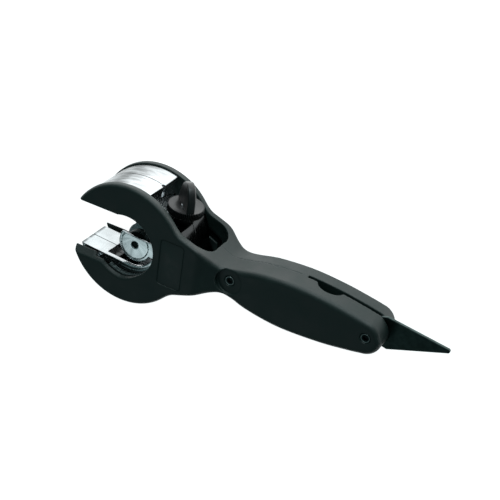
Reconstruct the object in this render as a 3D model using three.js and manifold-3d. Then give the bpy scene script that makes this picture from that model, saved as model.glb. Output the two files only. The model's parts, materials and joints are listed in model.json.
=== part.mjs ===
// Ratcheting tube cutter with a C-shaped head and a fold-out reamer.
//
// The tool lies on the cheek of its head: X runs from the jaws to the tail, Y across the
// handle towards the feed knob, Z up through the tool's thickness. "Front" pieces are on the
// +Z side, where the screw heads are, and "back" pieces on the -Z side. Every outline is drawn
// about the centre of the head, and the whole tool is then moved so that its origin is the
// middle of its footprint. The rotor and all it carries are drawn in the rotor's own frame.

import * as THREE from 'three';
import { mergeVertices } from 'three/addons/utils/BufferGeometryUtils.js';
import Module from 'manifold-3d';

const wasm = await Module();
wasm.setup();

// ---------------------------------------------------------------- driving dimensions, mm

const GAP = 0.3; // clearance between pieces that touch or run on each other
const ROOM = 0.5; // clearance round a piece that swings or slides
const SEAM = 0.05; // half the joint line between two clamped halves
const THROUGH = 60; // length of a cutter that passes right through

// Handle halves
const HEAD_RADIUS = 40;
const HEAD_HALF = 21.5; // half the thickness over the two cheeks
const HEAD_EDGE = 1.5; // rounding of the cheeks' rims
const HANDLE_HALF = 14; // half the thickness of the grip
const HANDLE_EDGE = 2.5;
const WALL = 3.2; // wall of the grip's two shells
const RAMP_START = 50.5; // where the head's flat sides start to slope down to the grip
const RAMP_END = 66;
const MOUTH_RADIUS = 20.4;
const UPPER_JAW = 19.3; // height of the upper jaw's edge over the head's centre line
const LOWER_JAW = 14.8; // depth of the lower jaw's lip below the centre line
const JAW_CHAMFER = 3.7; // how far the lip falls away towards the outside
const NECK = { x: 65.5, top: 8.6, bottom: 10.6 };
const GRIP = { x: 112, top: 15.2, bottom: 18.6 };
const TAIL = { x: 157, y: -1.5, radius: 11.5 };
const FLARE_TOP = 33; // angles at which the neck leaves the round head
const FLARE_BOTTOM = -36;
const OUTLINE_STEPS = 30; // points along each long side of the outline
const WINDOW_END = 57.5; // the knob's window reaches this far into the neck
const WINDOW_CORNER = 10;

// Rotor
const ROTOR_TURN = -4; // degrees from square with the handle
const ROTOR_RADIUS = 39;
const ROTOR_HALF = 16;
const CORE_HALF = 13; // half the width of the rotor's flats inside its rims
const THROAT_RADIUS = 17.8;
const RIM_THROAT = 20.5; // throat of the rotor's rims, hidden behind the cheeks
const CHAMBER_HALF = 10; // half the width of the space that the carriage runs in
const POCKET_START = -16.6; // the lower flat ends here and the carriage's space begins
const POCKET_DEPTH = 4;
const KNOB_POCKET = { x: 9, y: 21.5 };

// Ratchet
const TEETH = 36;
const TOOTH_TIP = 26.2;
const TOOTH_ROOT = 24.4;
const RING_BORE = 20.9;
const RING_THICK = 2.3;
const RING_FIRST = -14; // the ring is open at the jaws: its first and last teeth,
const RING_LAST = 9; // counted from the one that the pawls hold
const PAWL_NOSE = 20; // angle of the tooth face that the pawls hold
const PAWL_PIVOT = { x: 38, y: -8 };
const PAWL_EYE = 3.4;
const PAWL_PIN = 1.5;
const PAWL_TALL = 2.4; // height of the nose over the teeth
const PAWL_SWING = -9; // degrees that the teeth lift a pawl
const PAWL_ROOM = 0.8;
const NOSE_BACK = 1.3; // degrees between the nose and the tooth that it holds
const NOSE_LIFT = 0.35;
const PIN_LAND = 0.9; // cheek left outside the pawl's pin
const SPRING_THICK = 0.5;

// Feed
const SCREW_X = 25.8; // feed screw axis, in the rotor's frame
const SCREW_RADIUS = 3;
const SCREW_BOTTOM = -19;
const KNOB_RADIUS = 11.4;
const KNOB_FACE = 32.3; // height of the knob's disc
const KNOB_DISC = 5;
const WING_HEIGHT = 15.5;
const WING_HALF = 10.4;
const WING_THICK = 5;
const WING_ANGLE = 45; // the finger wing stands across the knob at this angle
const NUT_WALL = 1.1;
const BLOCK_WALL = 0.8; // wall of the carriage's block outside the nut
const BLOCK_BOTTOM = 2;
const BLOCK_TOP = 13;
const CLIP_THICK = 0.7;
const TRAVEL_OPEN = 20.6; // how far the carriage draws back for the largest tube
const TRAVEL_CLOSE = 4; // and how far it still goes forward

// Cutting wheel and rollers
const AXLE = { x: 1, y: -4.5 };
const AXLE_RADIUS = 2;
const WHEEL_RADIUS = 10.8;
const WHEEL_HALF = 1.6;
const SLEEVE_RADIUS = 8;
const PLATE_RADIUS = 11.6;
const PLATE_STEP = 9.7; // radius of the raised face on each side plate
const PLATE_THICK = 1.6;
const PLATE_TOP = 1.2;
const ROLLER_RADIUS = 4;
const ROLLER_HALF = 9.4;
const ROLLER_ANGLES = [112, 72];
const TUBE_RADIUS = 14.3; // largest tube, 1 1/8 inch
const ROLLER_PIN = 1.5;

// Fasteners
const SCREW_HEAD = 3;
const SCREW_SHANK = 2;
const HEAD_DEEP = 2.4;
const NUT_ACROSS = 7;
const NUT_THICK = 3;
const NECK_SCREW = { x: 69.5, y: -0.4 };
const SPOT_RADIUS = 8.2; // round scoop about the neck screw
const SPOT_DEEP = 1;
const ROTOR_SCREWS = [[-15, 26], [-21.2, -23], [35.2, 4]];
const ROTOR_SHANK = 1.5;
const ROTOR_HEAD = 2.7;
const RIVET_RADIUS = 1;
const RIVET_ANGLES = [100, -80];

// Reamer
const PIVOT = { x: 158.9, y: -1 };
const BLADE_HALF = 1;
const BLADE_REACH = 46.2;
const BLADE_TIP = 1.4; // radius of the blade's tip
const BLADE_TIP_Y = 4.3;
const BLADE_HEEL = 8;
const HEEL_START = 95; // angles of the round heel
const HEEL_END = 265;
const BLADE_ROOM = 0.8;
const BLADE_TOP = { x: 6.6, y: 10.6 }; // shoulders of the blade about its pivot
const BLADE_FOOT = { x: 10, y: -10.4 };
const FOLD = 157; // degrees from open to shut
const BUSHING_RADIUS = 3.2;
const BUSHING_HALF = 4;
const SLOT_START = -45.6; // front end of the slot, from the pivot
const NOTCH = { x: 128.4, radius: 8.4, deep: 6.2, low: 5 };

// Blank plate on the front cheek
const LABEL = { x: 33.2, y: -0.6, width: 16, height: 31, corner: 2.2, deep: 0.9, thick: 0.6 };

// ---------------------------------------------------------------- helpers

const rad = THREE.MathUtils.degToRad;

// A closed three.js geometry as a solid that can be cut and joined.
function solid(geometry) {
  const bare = geometry.clone();
  bare.deleteAttribute('normal');
  bare.deleteAttribute('uv');
  const merged = mergeVertices(bare, 1e-4);
  return new wasm.Manifold(new wasm.Mesh({
    numProp: 3,
    vertProperties: merged.attributes.position.array,
    triVerts: merged.index.array,
  }));
}

// The geometry of a solid.
function geometryOf(body) {
  const mesh = body.getMesh();
  const geometry = new THREE.BufferGeometry();
  geometry.setAttribute('position', new THREE.BufferAttribute(mesh.vertProperties, 3));
  geometry.setIndex(new THREE.BufferAttribute(mesh.triVerts, 1));
  return geometry;
}

// An outline of [x, y] points, carried from z = low to z = high.
function prism(outline, low, high) {
  const shape = new THREE.Shape(outline.map(([x, y]) => new THREE.Vector2(x, y)));
  const geometry = new THREE.ExtrudeGeometry(shape, { depth: high - low, bevelEnabled: false });
  geometry.translate(0, 0, low);
  return geometry;
}

const slab = (outline, low, high) => solid(prism(outline, low, high));

// Moves each point of a closed outline inwards by a distance.
function inset(points, distance) {
  const count = points.length;
  return points.map(([x, y], i) => {
    const [ax, ay] = points[(i + count - 1) % count];
    const [bx, by] = points[(i + 1) % count];
    const length = Math.hypot(bx - ax, by - ay);
    return [x - distance * (by - ay) / length, y + distance * (bx - ax) / length];
  });
}

// An outline carried through both sides of the mid-plane, its edges rounded by a stack of rings
// that step inwards on a quarter circle.
function roundedSlab(points, half, edge) {
  const steps = 3;
  const rings = [];
  for (let i = 0; i <= steps; i += 1) {
    const angle = Math.PI / 2 * i / steps;
    rings.push([half - edge + edge * Math.sin(angle), edge * (1 - Math.cos(angle))]);
  }
  const levels = [...rings.map(([z, d]) => [-z, d]).reverse(), ...rings];
  const count = points.length;
  const positions = levels.flatMap(([z, d]) => inset(points, d).flatMap(([x, y]) => [x, y, z]));
  const cap = THREE.ShapeUtils.triangulateShape(points.map(([x, y]) => new THREE.Vector2(x, y)), []);
  const top = count * (levels.length - 1);
  const index = cap.flatMap(([a, b, c]) => [a, c, b, top + a, top + b, top + c]);
  for (let level = 0; level < levels.length - 1; level += 1) {
    for (let i = 0; i < count; i += 1) {
      const a = level * count + i;
      const b = level * count + (i + 1) % count;
      index.push(a, b, b + count, a, b + count, a + count);
    }
  }
  const geometry = new THREE.BufferGeometry();
  geometry.setAttribute('position', new THREE.Float32BufferAttribute(positions, 3));
  geometry.setIndex(index);
  return solid(geometry);
}

// A round bar along Z through (x, y).
function bar(radius, low, high, x = 0, y = 0, segments = 20) {
  const geometry = new THREE.CylinderGeometry(radius, radius, high - low, segments);
  geometry.rotateX(Math.PI / 2);
  geometry.translate(x, y, (low + high) / 2);
  return solid(geometry);
}

// A round bar along Y through (x, 0).
function barY(radius, low, high, x, segments = 20) {
  const geometry = new THREE.CylinderGeometry(radius, radius, high - low, segments);
  geometry.translate(x, (low + high) / 2, 0);
  return solid(geometry);
}

function box(x0, x1, y0, y1, z0, z1) {
  const geometry = new THREE.BoxGeometry(x1 - x0, y1 - y0, z1 - z0);
  geometry.translate((x0 + x1) / 2, (y0 + y1) / 2, (z0 + z1) / 2);
  return solid(geometry);
}

// A profile of [radius, height] points turned about the line along Z through (x, y).
function turned(profile, segments = 48, x = 0, y = 0) {
  const points = profile.map(([r, h]) => new THREE.Vector2(r, h));
  if (profile[0][0] > 0) points.push(points[0].clone());
  const geometry = new THREE.LatheGeometry(points, segments);
  geometry.rotateX(Math.PI / 2);
  geometry.translate(x, y, 0);
  return solid(geometry);
}

const fuse = (parts) => parts.reduce((sum, next) => sum.add(next));
const polar = (radius, degrees) => [radius * Math.cos(rad(degrees)), radius * Math.sin(rad(degrees))];

// Points on an arc about (cx, cy), from one angle to another in degrees.
function arc(cx, cy, radius, from, to, steps) {
  const points = [];
  for (let i = 0; i <= steps; i += 1) {
    const [x, y] = polar(radius, from + (to - from) * i / steps);
    points.push([cx + x, cy + y]);
  }
  return points;
}

// Points on a smooth curve through the given ones.
function smooth(points, steps) {
  const curve = new THREE.SplineCurve(points.map(([x, y]) => new THREE.Vector2(x, y)));
  return curve.getPoints(steps).map((p) => [p.x, p.y]);
}

const dark = (hex, roughness) => new THREE.MeshStandardMaterial({ color: hex, roughness, metalness: 0 });
const metal = (hex, roughness) => new THREE.MeshStandardMaterial({ color: hex, roughness, metalness: 1 });

function piece(parent, name, body, material) {
  const mesh = new THREE.Mesh(geometryOf(body), material);
  mesh.name = name;
  parent.add(mesh);
}

// ---------------------------------------------------------------- groups

const tool = new THREE.Group();
const rotor = new THREE.Group();
rotor.rotation.z = rad(ROTOR_TURN);
tool.add(rotor);
const sides = [['front', 1], ['back', -1]];

// The slab between two heights on the front or, mirrored, on the back.
function sideSlab(outline, side, low, high) {
  return side > 0 ? slab(outline, low, high) : slab(outline, -high, -low);
}

function sideBar(radius, side, low, high, x, y, segments) {
  return side > 0 ? bar(radius, low, high, x, y, segments) : bar(radius, -high, -low, x, y, segments);
}

// ---------------------------------------------------------------- handle outline

const between = (a, b, t) => a + (b - a) * t;
const tailTop = 100; // angles where the grip's sides run into the round tail
const tailBottom = -100;

function gripOutline() {
  const flare = (angle) => polar(HEAD_RADIUS - 0.6, angle);
  const [topX, topY] = flare(FLARE_TOP);
  const [lowX, lowY] = flare(FLARE_BOTTOM);
  const [tailTopX, tailTopY] = arc(TAIL.x, TAIL.y, TAIL.radius, tailTop, tailTop, 1)[0];
  const [tailLowX, tailLowY] = arc(TAIL.x, TAIL.y, TAIL.radius, tailBottom, tailBottom, 1)[0];
  const top = smooth([
    [topX - 9, topY + 5],
    [topX, topY],
    [between(topX, NECK.x, 0.5), between(topY, NECK.top, 0.45)],
    [between(topX, NECK.x, 0.82), between(topY, NECK.top, 0.88)],
    [NECK.x, NECK.top],
    [between(NECK.x, GRIP.x, 0.2), between(NECK.top, GRIP.top, 0.24)],
    [between(NECK.x, GRIP.x, 0.52), between(NECK.top, GRIP.top, 0.75)],
    [GRIP.x, GRIP.top],
    [between(GRIP.x, tailTopX, 0.45), between(GRIP.top, tailTopY, 0.24)],
    [between(GRIP.x, tailTopX, 0.8), between(GRIP.top, tailTopY, 0.68)],
    [tailTopX, tailTopY],
  ], OUTLINE_STEPS);
  const bottom = smooth([
    [tailLowX, tailLowY],
    [between(GRIP.x, tailLowX, 0.8), between(-GRIP.bottom, tailLowY, 0.68)],
    [between(GRIP.x, tailLowX, 0.45), between(-GRIP.bottom, tailLowY, 0.25)],
    [GRIP.x, -GRIP.bottom],
    [between(NECK.x, GRIP.x, 0.68), between(-NECK.bottom, -GRIP.bottom, 0.93)],
    [between(NECK.x, GRIP.x, 0.34), between(-NECK.bottom, -GRIP.bottom, 0.6)],
    [between(NECK.x, GRIP.x, 0.14), between(-NECK.bottom, -GRIP.bottom, 0.2)],
    [NECK.x, -NECK.bottom],
    [between(lowX, NECK.x, 0.8), between(lowY, -NECK.bottom, 0.88)],
    [between(lowX, NECK.x, 0.5), between(lowY, -NECK.bottom, 0.52)],
    [lowX, lowY],
    [lowX - 9, lowY - 5],
  ], OUTLINE_STEPS);
  const tail = arc(TAIL.x, TAIL.y, TAIL.radius, tailTop, tailBottom, 12);
  const head = arc(0, 0, HEAD_RADIUS - 4, FLARE_BOTTOM - 24, FLARE_TOP - 360 + 24, 12);
  return [...top.slice(0, -1), ...tail, ...bottom.slice(1), ...head].reverse();
}

// ---------------------------------------------------------------- reamer outline

// The blade about its pivot: a round heel, two shoulders, and straight edges to the tip.
function bladeOutline() {
  const tipX = BLADE_REACH - BLADE_TIP;
  return [
    ...arc(0, 0, BLADE_HEEL, HEEL_START, HEEL_END, 14),
    [BLADE_FOOT.x, BLADE_FOOT.y],
    ...arc(tipX, BLADE_TIP_Y, BLADE_TIP, -75, 80, 5),
    [BLADE_TOP.x, BLADE_TOP.y],
  ];
}

// The space that the blade sweeps as it folds, open along the top of the grip and at the tail.
// Its floor runs along the back of the folded blade and round the folded shoulder and heel.
function slotOutline() {
  const turn = rad(FOLD);
  const alongX = BLADE_REACH - BLADE_TIP - BLADE_TOP.x;
  const alongY = BLADE_TIP_Y + BLADE_TIP - BLADE_TOP.y;
  const along = Math.atan2(alongY, alongX);
  const backX = BLADE_TOP.x - BLADE_ROOM * Math.sin(along);
  const backY = BLADE_TOP.y + BLADE_ROOM * Math.cos(along);
  const nearX = backX * Math.cos(turn) - backY * Math.sin(turn);
  const nearY = backX * Math.sin(turn) + backY * Math.cos(turn);
  const shoulder = Math.hypot(BLADE_TOP.x, BLADE_TOP.y) + BLADE_ROOM;
  const folded = Math.atan2(BLADE_TOP.y, BLADE_TOP.x) * 180 / Math.PI + FOLD;
  const foot = BLADE_FOOT.y - BLADE_ROOM;
  return [
    [SLOT_START, THROUGH],
    [SLOT_START, nearY + (SLOT_START - nearX) * Math.tan(turn + along)],
    ...arc(0, 0, shoulder, folded - 1, folded + 5, 2),
    ...arc(0, 0, BLADE_HEEL + BLADE_ROOM, HEEL_START + FOLD, HEEL_END, 2),
    [BLADE_FOOT.x, foot],
    [THROUGH, foot - 10],
    [THROUGH, THROUGH],
  ].map(([x, y]) => [x + PIVOT.x, y + PIVOT.y]);
}

// ---------------------------------------------------------------- handle halves

const outline = gripOutline();
const gapHalf = ROTOR_HALF + GAP;
const raceRadius = TOOTH_TIP + 0.5;
const raceFloor = gapHalf + RING_THICK + GAP;

function handleBody() {
  const edge = HEAD_EDGE * 0.3;
  const head = turned([
    [0, -HEAD_HALF],
    [HEAD_RADIUS - HEAD_EDGE, -HEAD_HALF],
    [HEAD_RADIUS - edge, edge - HEAD_HALF],
    [HEAD_RADIUS, HEAD_EDGE - HEAD_HALF],
    [HEAD_RADIUS, HEAD_HALF - HEAD_EDGE],
    [HEAD_RADIUS - edge, HEAD_HALF - edge],
    [HEAD_RADIUS - HEAD_EDGE, HEAD_HALF],
    [0, HEAD_HALF],
  ], 72);
  const grip = roundedSlab(outline, HANDLE_HALF, HANDLE_EDGE);
  const ramp = prism([
    [-HEAD_RADIUS, -HEAD_HALF],
    [RAMP_START, -HEAD_HALF],
    [RAMP_END, 0.5 - HANDLE_HALF],
    [RAMP_END, HANDLE_HALF - 0.5],
    [RAMP_START, HEAD_HALF],
    [-HEAD_RADIUS, HEAD_HALF],
  ], -THROUGH, THROUGH);
  ramp.rotateX(Math.PI / 2);
  const neck = roundedSlab(outline, HEAD_HALF, HEAD_EDGE).intersect(solid(ramp));
  return fuse([head, grip, neck]);
}

// The knob's way through the neck: a U in the plane of X and Z, carried along Y.
function windowCutter() {
  const flat = gapHalf - WINDOW_CORNER;
  const geometry = prism([
    [0, -gapHalf],
    ...arc(WINDOW_END - WINDOW_CORNER, -flat, WINDOW_CORNER, -90, 0, 6),
    ...arc(WINDOW_END - WINDOW_CORNER, flat, WINDOW_CORNER, 0, 90, 6),
    [0, gapHalf],
  ], -THROUGH, THROUGH);
  geometry.rotateX(Math.PI / 2);
  return solid(geometry);
}

function mouthCutter() {
  const upper = Math.asin(UPPER_JAW / MOUTH_RADIUS) * 180 / Math.PI;
  const lower = Math.asin(LOWER_JAW / MOUTH_RADIUS) * 180 / Math.PI;
  return slab([
    [-THROUGH, UPPER_JAW],
    [-THROUGH, -LOWER_JAW],
    ...arc(0, 0, MOUTH_RADIUS, -180 + lower, 180 - upper, 32),
  ], -THROUGH, THROUGH);
}

// The slope of the lower jaw's lip, from near the cheek's inner face to its outer face.
function lipCutter(side) {
  const start = gapHalf + 0.7;
  const reach = Math.sqrt(MOUTH_RADIUS ** 2 - (LOWER_JAW + JAW_CHAMFER) ** 2);
  const geometry = prism([
    [start, -LOWER_JAW],
    [HEAD_HALF, -LOWER_JAW - JAW_CHAMFER],
    [HEAD_HALF + 5, -LOWER_JAW - JAW_CHAMFER],
    [HEAD_HALF + 5, 0],
    [start, 0],
  ].map(([z, y]) => [side * z, y]), reach, THROUGH);
  geometry.rotateY(-Math.PI / 2);
  return solid(geometry);
}

// The pawl about its pivot, with its nose in a tooth of the ring.
const noseOut = (radius, back) => polar(radius, PAWL_NOSE - back);

function pawlOutline() {
  const slope = (TOOTH_TIP - TOOTH_ROOT) / (360 / TEETH);
  return [
    noseOut(TOOTH_ROOT + NOSE_LIFT, NOSE_BACK),
    noseOut(TOOTH_TIP + PAWL_TALL, NOSE_BACK),
    ...arc(PAWL_PIVOT.x, PAWL_PIVOT.y, PAWL_EYE, 60, -150, 12),
    noseOut(TOOTH_ROOT + slope * 7 + NOSE_LIFT + GAP, 7),
    noseOut(TOOTH_ROOT + slope * 5 + NOSE_LIFT, 5),
  ].reverse();
}

// The blade spring starts in a slit of the cheek and leans on the pawl's back.
function springOutline(grow) {
  const [noseX, noseY] = noseOut(TOOTH_TIP + PAWL_TALL, NOSE_BACK);
  const start = [PAWL_PIVOT.x + 8.4, PAWL_PIVOT.y + 4];
  const bend = [PAWL_PIVOT.x + 7.2, PAWL_PIVOT.y + 12];
  const end = [noseX + 4.2, noseY + 1.2];
  const line = smooth([start, bend, end], 10);
  const half = SPRING_THICK / 2 + grow;
  const offset = (side) => line.map(([x, y], i) => {
    const [ax, ay] = line[Math.max(i - 1, 0)];
    const [bx, by] = line[Math.min(i + 1, line.length - 1)];
    const length = Math.hypot(bx - ax, by - ay);
    return [x - side * half * (by - ay) / length, y + side * half * (bx - ax) / length];
  });
  return [...offset(-1), ...offset(1).reverse()];
}

// Room for the pawl to swing clear of the teeth, in the cheek's inner face.
function pawlRoom(side) {
  const points = pawlOutline();
  const swings = [0, PAWL_SWING / 2, PAWL_SWING].map((angle) => points.map(([x, y]) => {
    const dx = x - PAWL_PIVOT.x;
    const dy = y - PAWL_PIVOT.y;
    const turn = rad(angle);
    return [
      PAWL_PIVOT.x + dx * Math.cos(turn) - dy * Math.sin(turn),
      PAWL_PIVOT.y + dx * Math.sin(turn) + dy * Math.cos(turn),
    ];
  }));
  const rooms = swings.map((swing) => sideSlab(inset(swing, -PAWL_ROOM), side, gapHalf - 1, raceFloor));
  rooms.push(sideSlab(springOutline(GAP), side, gapHalf - 1, raceFloor));
  return fuse(rooms);
}

function hexBar(across, low, high, x, y) {
  return bar(across / Math.sqrt(3), low, high, x, y, 6);
}

const handle = (() => {
  let body = handleBody();
  body = body.subtract(bar(HEAD_RADIUS + 2, -gapHalf, gapHalf, 0, 0, 40));
  body = body.subtract(windowCutter());
  body = body.subtract(mouthCutter());
  for (const [, side] of sides) {
    body = body.subtract(lipCutter(side));
    body = body.subtract(sideBar(raceRadius, side, gapHalf - 1, raceFloor, 0, 0, 48));
    body = body.subtract(pawlRoom(side));
    const pinEnd = HEAD_HALF - PIN_LAND;
    body = body.subtract(sideBar(PAWL_PIN + GAP, side, gapHalf - 1, pinEnd, PAWL_PIVOT.x, PAWL_PIVOT.y));
  }
  body = body.subtract(slab(slotOutline(), -BLADE_HALF - GAP, BLADE_HALF + GAP));
  return body;
})();

// Hollow of one shell between its ribs, kept clear of the two screws.
function hollow(side) {
  const inner = inset(outline, WALL);
  const low = SEAM - 1;
  const high = HANDLE_HALF - WALL;
  const room = sideSlab(inner, side, low, high);
  const first = NECK_SCREW.x + SCREW_HEAD + 2 * WALL;
  const last = PIVOT.x - BLADE_HEEL - WALL;
  const ribs = 4;
  const step = (last - first) / ribs;
  const bays = [];
  for (let i = 0; i < ribs; i += 1) {
    const x = first + i * step;
    bays.push(box(x, x + step - WALL / 2, -THROUGH, THROUGH, -THROUGH, THROUGH));
  }
  return room.intersect(fuse(bays));
}

function handleHalf(side) {
  const half = side > 0
    ? box(-THROUGH, 4 * THROUGH, -THROUGH, THROUGH, SEAM, THROUGH)
    : box(-THROUGH, 4 * THROUGH, -THROUGH, THROUGH, -THROUGH, -SEAM);
  let body = handle.intersect(half).subtract(hollow(side));
  for (const { x, y } of [NECK_SCREW, PIVOT]) {
    body = body.subtract(bar(SCREW_SHANK + GAP, -THROUGH, THROUGH, x, y));
  }
  return body.subtract(bar(BUSHING_RADIUS + GAP, -BUSHING_HALF - GAP, BUSHING_HALF + GAP, PIVOT.x, PIVOT.y));
}

const screws = [
  { name: 'neck', at: NECK_SCREW, face: HANDLE_HALF - SPOT_DEEP },
  { name: 'tail', at: PIVOT, face: HANDLE_HALF },
];

function labelShape(margin) {
  const w = LABEL.width / 2 - margin;
  const h = LABEL.height / 2 - margin;
  const r = LABEL.corner;
  return [
    ...arc(LABEL.x + w - r, LABEL.y + h - r, r, 0, 90, 4),
    ...arc(LABEL.x - w + r, LABEL.y + h - r, r, 90, 180, 4),
    ...arc(LABEL.x - w + r, LABEL.y - h + r, r, 180, 270, 4),
    ...arc(LABEL.x + w - r, LABEL.y - h + r, r, 270, 360, 4),
  ];
}

function frontHalf() {
  let body = handleHalf(1);
  body = body.subtract(bar(SPOT_RADIUS, HANDLE_HALF - SPOT_DEEP, THROUGH, NECK_SCREW.x, NECK_SCREW.y, 32));
  for (const { at, face } of screws) {
    body = body.subtract(bar(SCREW_HEAD + GAP, face - HEAD_DEEP - GAP, THROUGH, at.x, at.y));
  }
  body = body.subtract(slab(labelShape(0), HEAD_HALF - LABEL.deep, THROUGH));
  const notch = new THREE.CylinderGeometry(NOTCH.radius, NOTCH.radius, THROUGH, 32);
  notch.scale(1, 1, NOTCH.deep / NOTCH.radius);
  notch.translate(NOTCH.x, GRIP.top - NOTCH.low + THROUGH / 2, 0);
  return body.subtract(solid(notch));
}

function backHalf() {
  let body = handleHalf(-1);
  for (const { at, face } of screws) {
    body = body.subtract(hexBar(NUT_ACROSS + 2 * GAP, -THROUGH, NUT_THICK - face, at.x, at.y));
  }
  return body;
}

const bodyBlack = dark(0x1b2625, 0.55);
const knobBlack = dark(0x222627, 0.5);
const blackSteel = new THREE.MeshStandardMaterial({ color: 0x2c3334, roughness: 0.42, metalness: 0.6 });
const zinc = metal(0xd4dbdf, 0.25);
const steel = metal(0xaab0b3, 0.3);
const toolSteel = metal(0x8d9396, 0.28);
const springSteel = metal(0x6f7679, 0.35);
const brass = metal(0xb5924c, 0.35);

piece(tool, 'front_handle_half', frontHalf(), bodyBlack);
piece(tool, 'back_handle_half', backHalf(), bodyBlack);
piece(tool, 'blank_label_plate', slab(
  labelShape(GAP),
  HEAD_HALF - LABEL.deep,
  HEAD_HALF - LABEL.deep + LABEL.thick,
), dark(0x20292a, 0.45));

// ---------------------------------------------------------------- handle screws, nuts and bushing

for (const { name, at, face } of screws) {
  const head = bar(SCREW_HEAD, face - HEAD_DEEP, face - GAP, at.x, at.y);
  const shank = bar(SCREW_SHANK, -face + GAP, face - HEAD_DEEP + 1, at.x, at.y);
  const socket = hexBar(SCREW_HEAD, face - HEAD_DEEP / 2 - GAP, THROUGH, at.x, at.y);
  piece(tool, `${name}_screw`, head.add(shank).subtract(socket), blackSteel);
  const nut = hexBar(NUT_ACROSS, -face + GAP, NUT_THICK - face - GAP, at.x, at.y);
  piece(tool, `${name}_nut`, nut.subtract(bar(SCREW_SHANK + GAP / 2, -THROUGH, 0, at.x, at.y)), blackSteel);
}

const ring = (outer, inner, low, high, at) => bar(outer, low, high, at.x, at.y)
  .subtract(bar(inner, low - 1, high + 1, at.x, at.y));
piece(tool, 'reamer_bushing', ring(BUSHING_RADIUS, SCREW_SHANK + GAP / 2, -BUSHING_HALF, BUSHING_HALF, PIVOT), brass);

// ---------------------------------------------------------------- pawls, their pins and springs

const pawlLow = gapHalf;
const pawlHigh = raceFloor - GAP;
for (const [name, side] of sides) {
  const pawl = sideSlab(pawlOutline(), side, pawlLow, pawlHigh)
    .subtract(sideBar(PAWL_PIN + GAP, side, 0, THROUGH, PAWL_PIVOT.x, PAWL_PIVOT.y));
  piece(tool, `${name}_pawl`, pawl, toolSteel);
  const pinEnd = HEAD_HALF - PIN_LAND - GAP;
  const pin = sideBar(PAWL_PIN, side, pawlLow, pinEnd, PAWL_PIVOT.x, PAWL_PIVOT.y);
  piece(tool, `${name}_pawl_pin`, pin, steel);
  const spring = sideSlab(springOutline(0), side, pawlLow + GAP, pawlHigh - GAP);
  piece(tool, `${name}_pawl_spring`, spring, springSteel);
}

// ---------------------------------------------------------------- reamer

const blade = slab(bladeOutline().map(([x, y]) => [x + PIVOT.x, y + PIVOT.y]), -BLADE_HALF, BLADE_HALF);
piece(tool, 'reamer_blade', blade.subtract(
  bar(BUSHING_RADIUS + GAP, -THROUGH, THROUGH, PIVOT.x, PIVOT.y),
), blackSteel);

// ---------------------------------------------------------------- rotor halves

const nutRadius = SCREW_RADIUS + GAP + NUT_WALL;
const blockLeft = SCREW_X - nutRadius - BLOCK_WALL;
const blockRight = SCREW_X + nutRadius + BLOCK_WALL;
const shaftTop = BLOCK_TOP + TRAVEL_CLOSE + CLIP_THICK + 2 * GAP;
const rollerCentres = ROLLER_ANGLES.map((angle) => {
  const [x, y] = polar(TUBE_RADIUS + ROLLER_RADIUS + 0.1, angle);
  return { x, y };
});

// A slot with a round end at the rotor's centre, open towards the jaws.
function throat(radius, extra = 0) {
  return [
    [-THROUGH, radius + extra],
    [-THROUGH, -radius - extra],
    [0, -radius - extra],
    ...arc(0, 0, radius, -90, 90, 24),
    [0, radius + extra],
  ];
}

// The space for the carriage: the wheel's slot on the left, the nut's shaft on the right.
function chamber() {
  const left = AXLE.x - PLATE_RADIUS - ROOM;
  const low = AXLE.y - TRAVEL_OPEN;
  const nutLow = BLOCK_BOTTOM - TRAVEL_OPEN - ROOM;
  const plateHigh = PLATE_TOP + TRAVEL_CLOSE + ROOM;
  return [
    [left, -PLATE_STEP],
    ...arc(AXLE.x, low, PLATE_RADIUS + ROOM, 180, 290, 14),
    [armFoot.x + ROOM, armFoot.y - TRAVEL_OPEN - ROOM],
    [blockRight + ROOM, nutLow],
    [blockRight + ROOM, shaftTop],
    [blockLeft - ROOM, shaftTop],
    [blockLeft - ROOM, plateHigh],
    [AXLE.x + PLATE_STEP, plateHigh],
    [AXLE.x + PLATE_STEP, -PLATE_STEP],
  ];
}

const armFoot = { x: blockLeft + 1.4, y: -9 };

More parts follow.
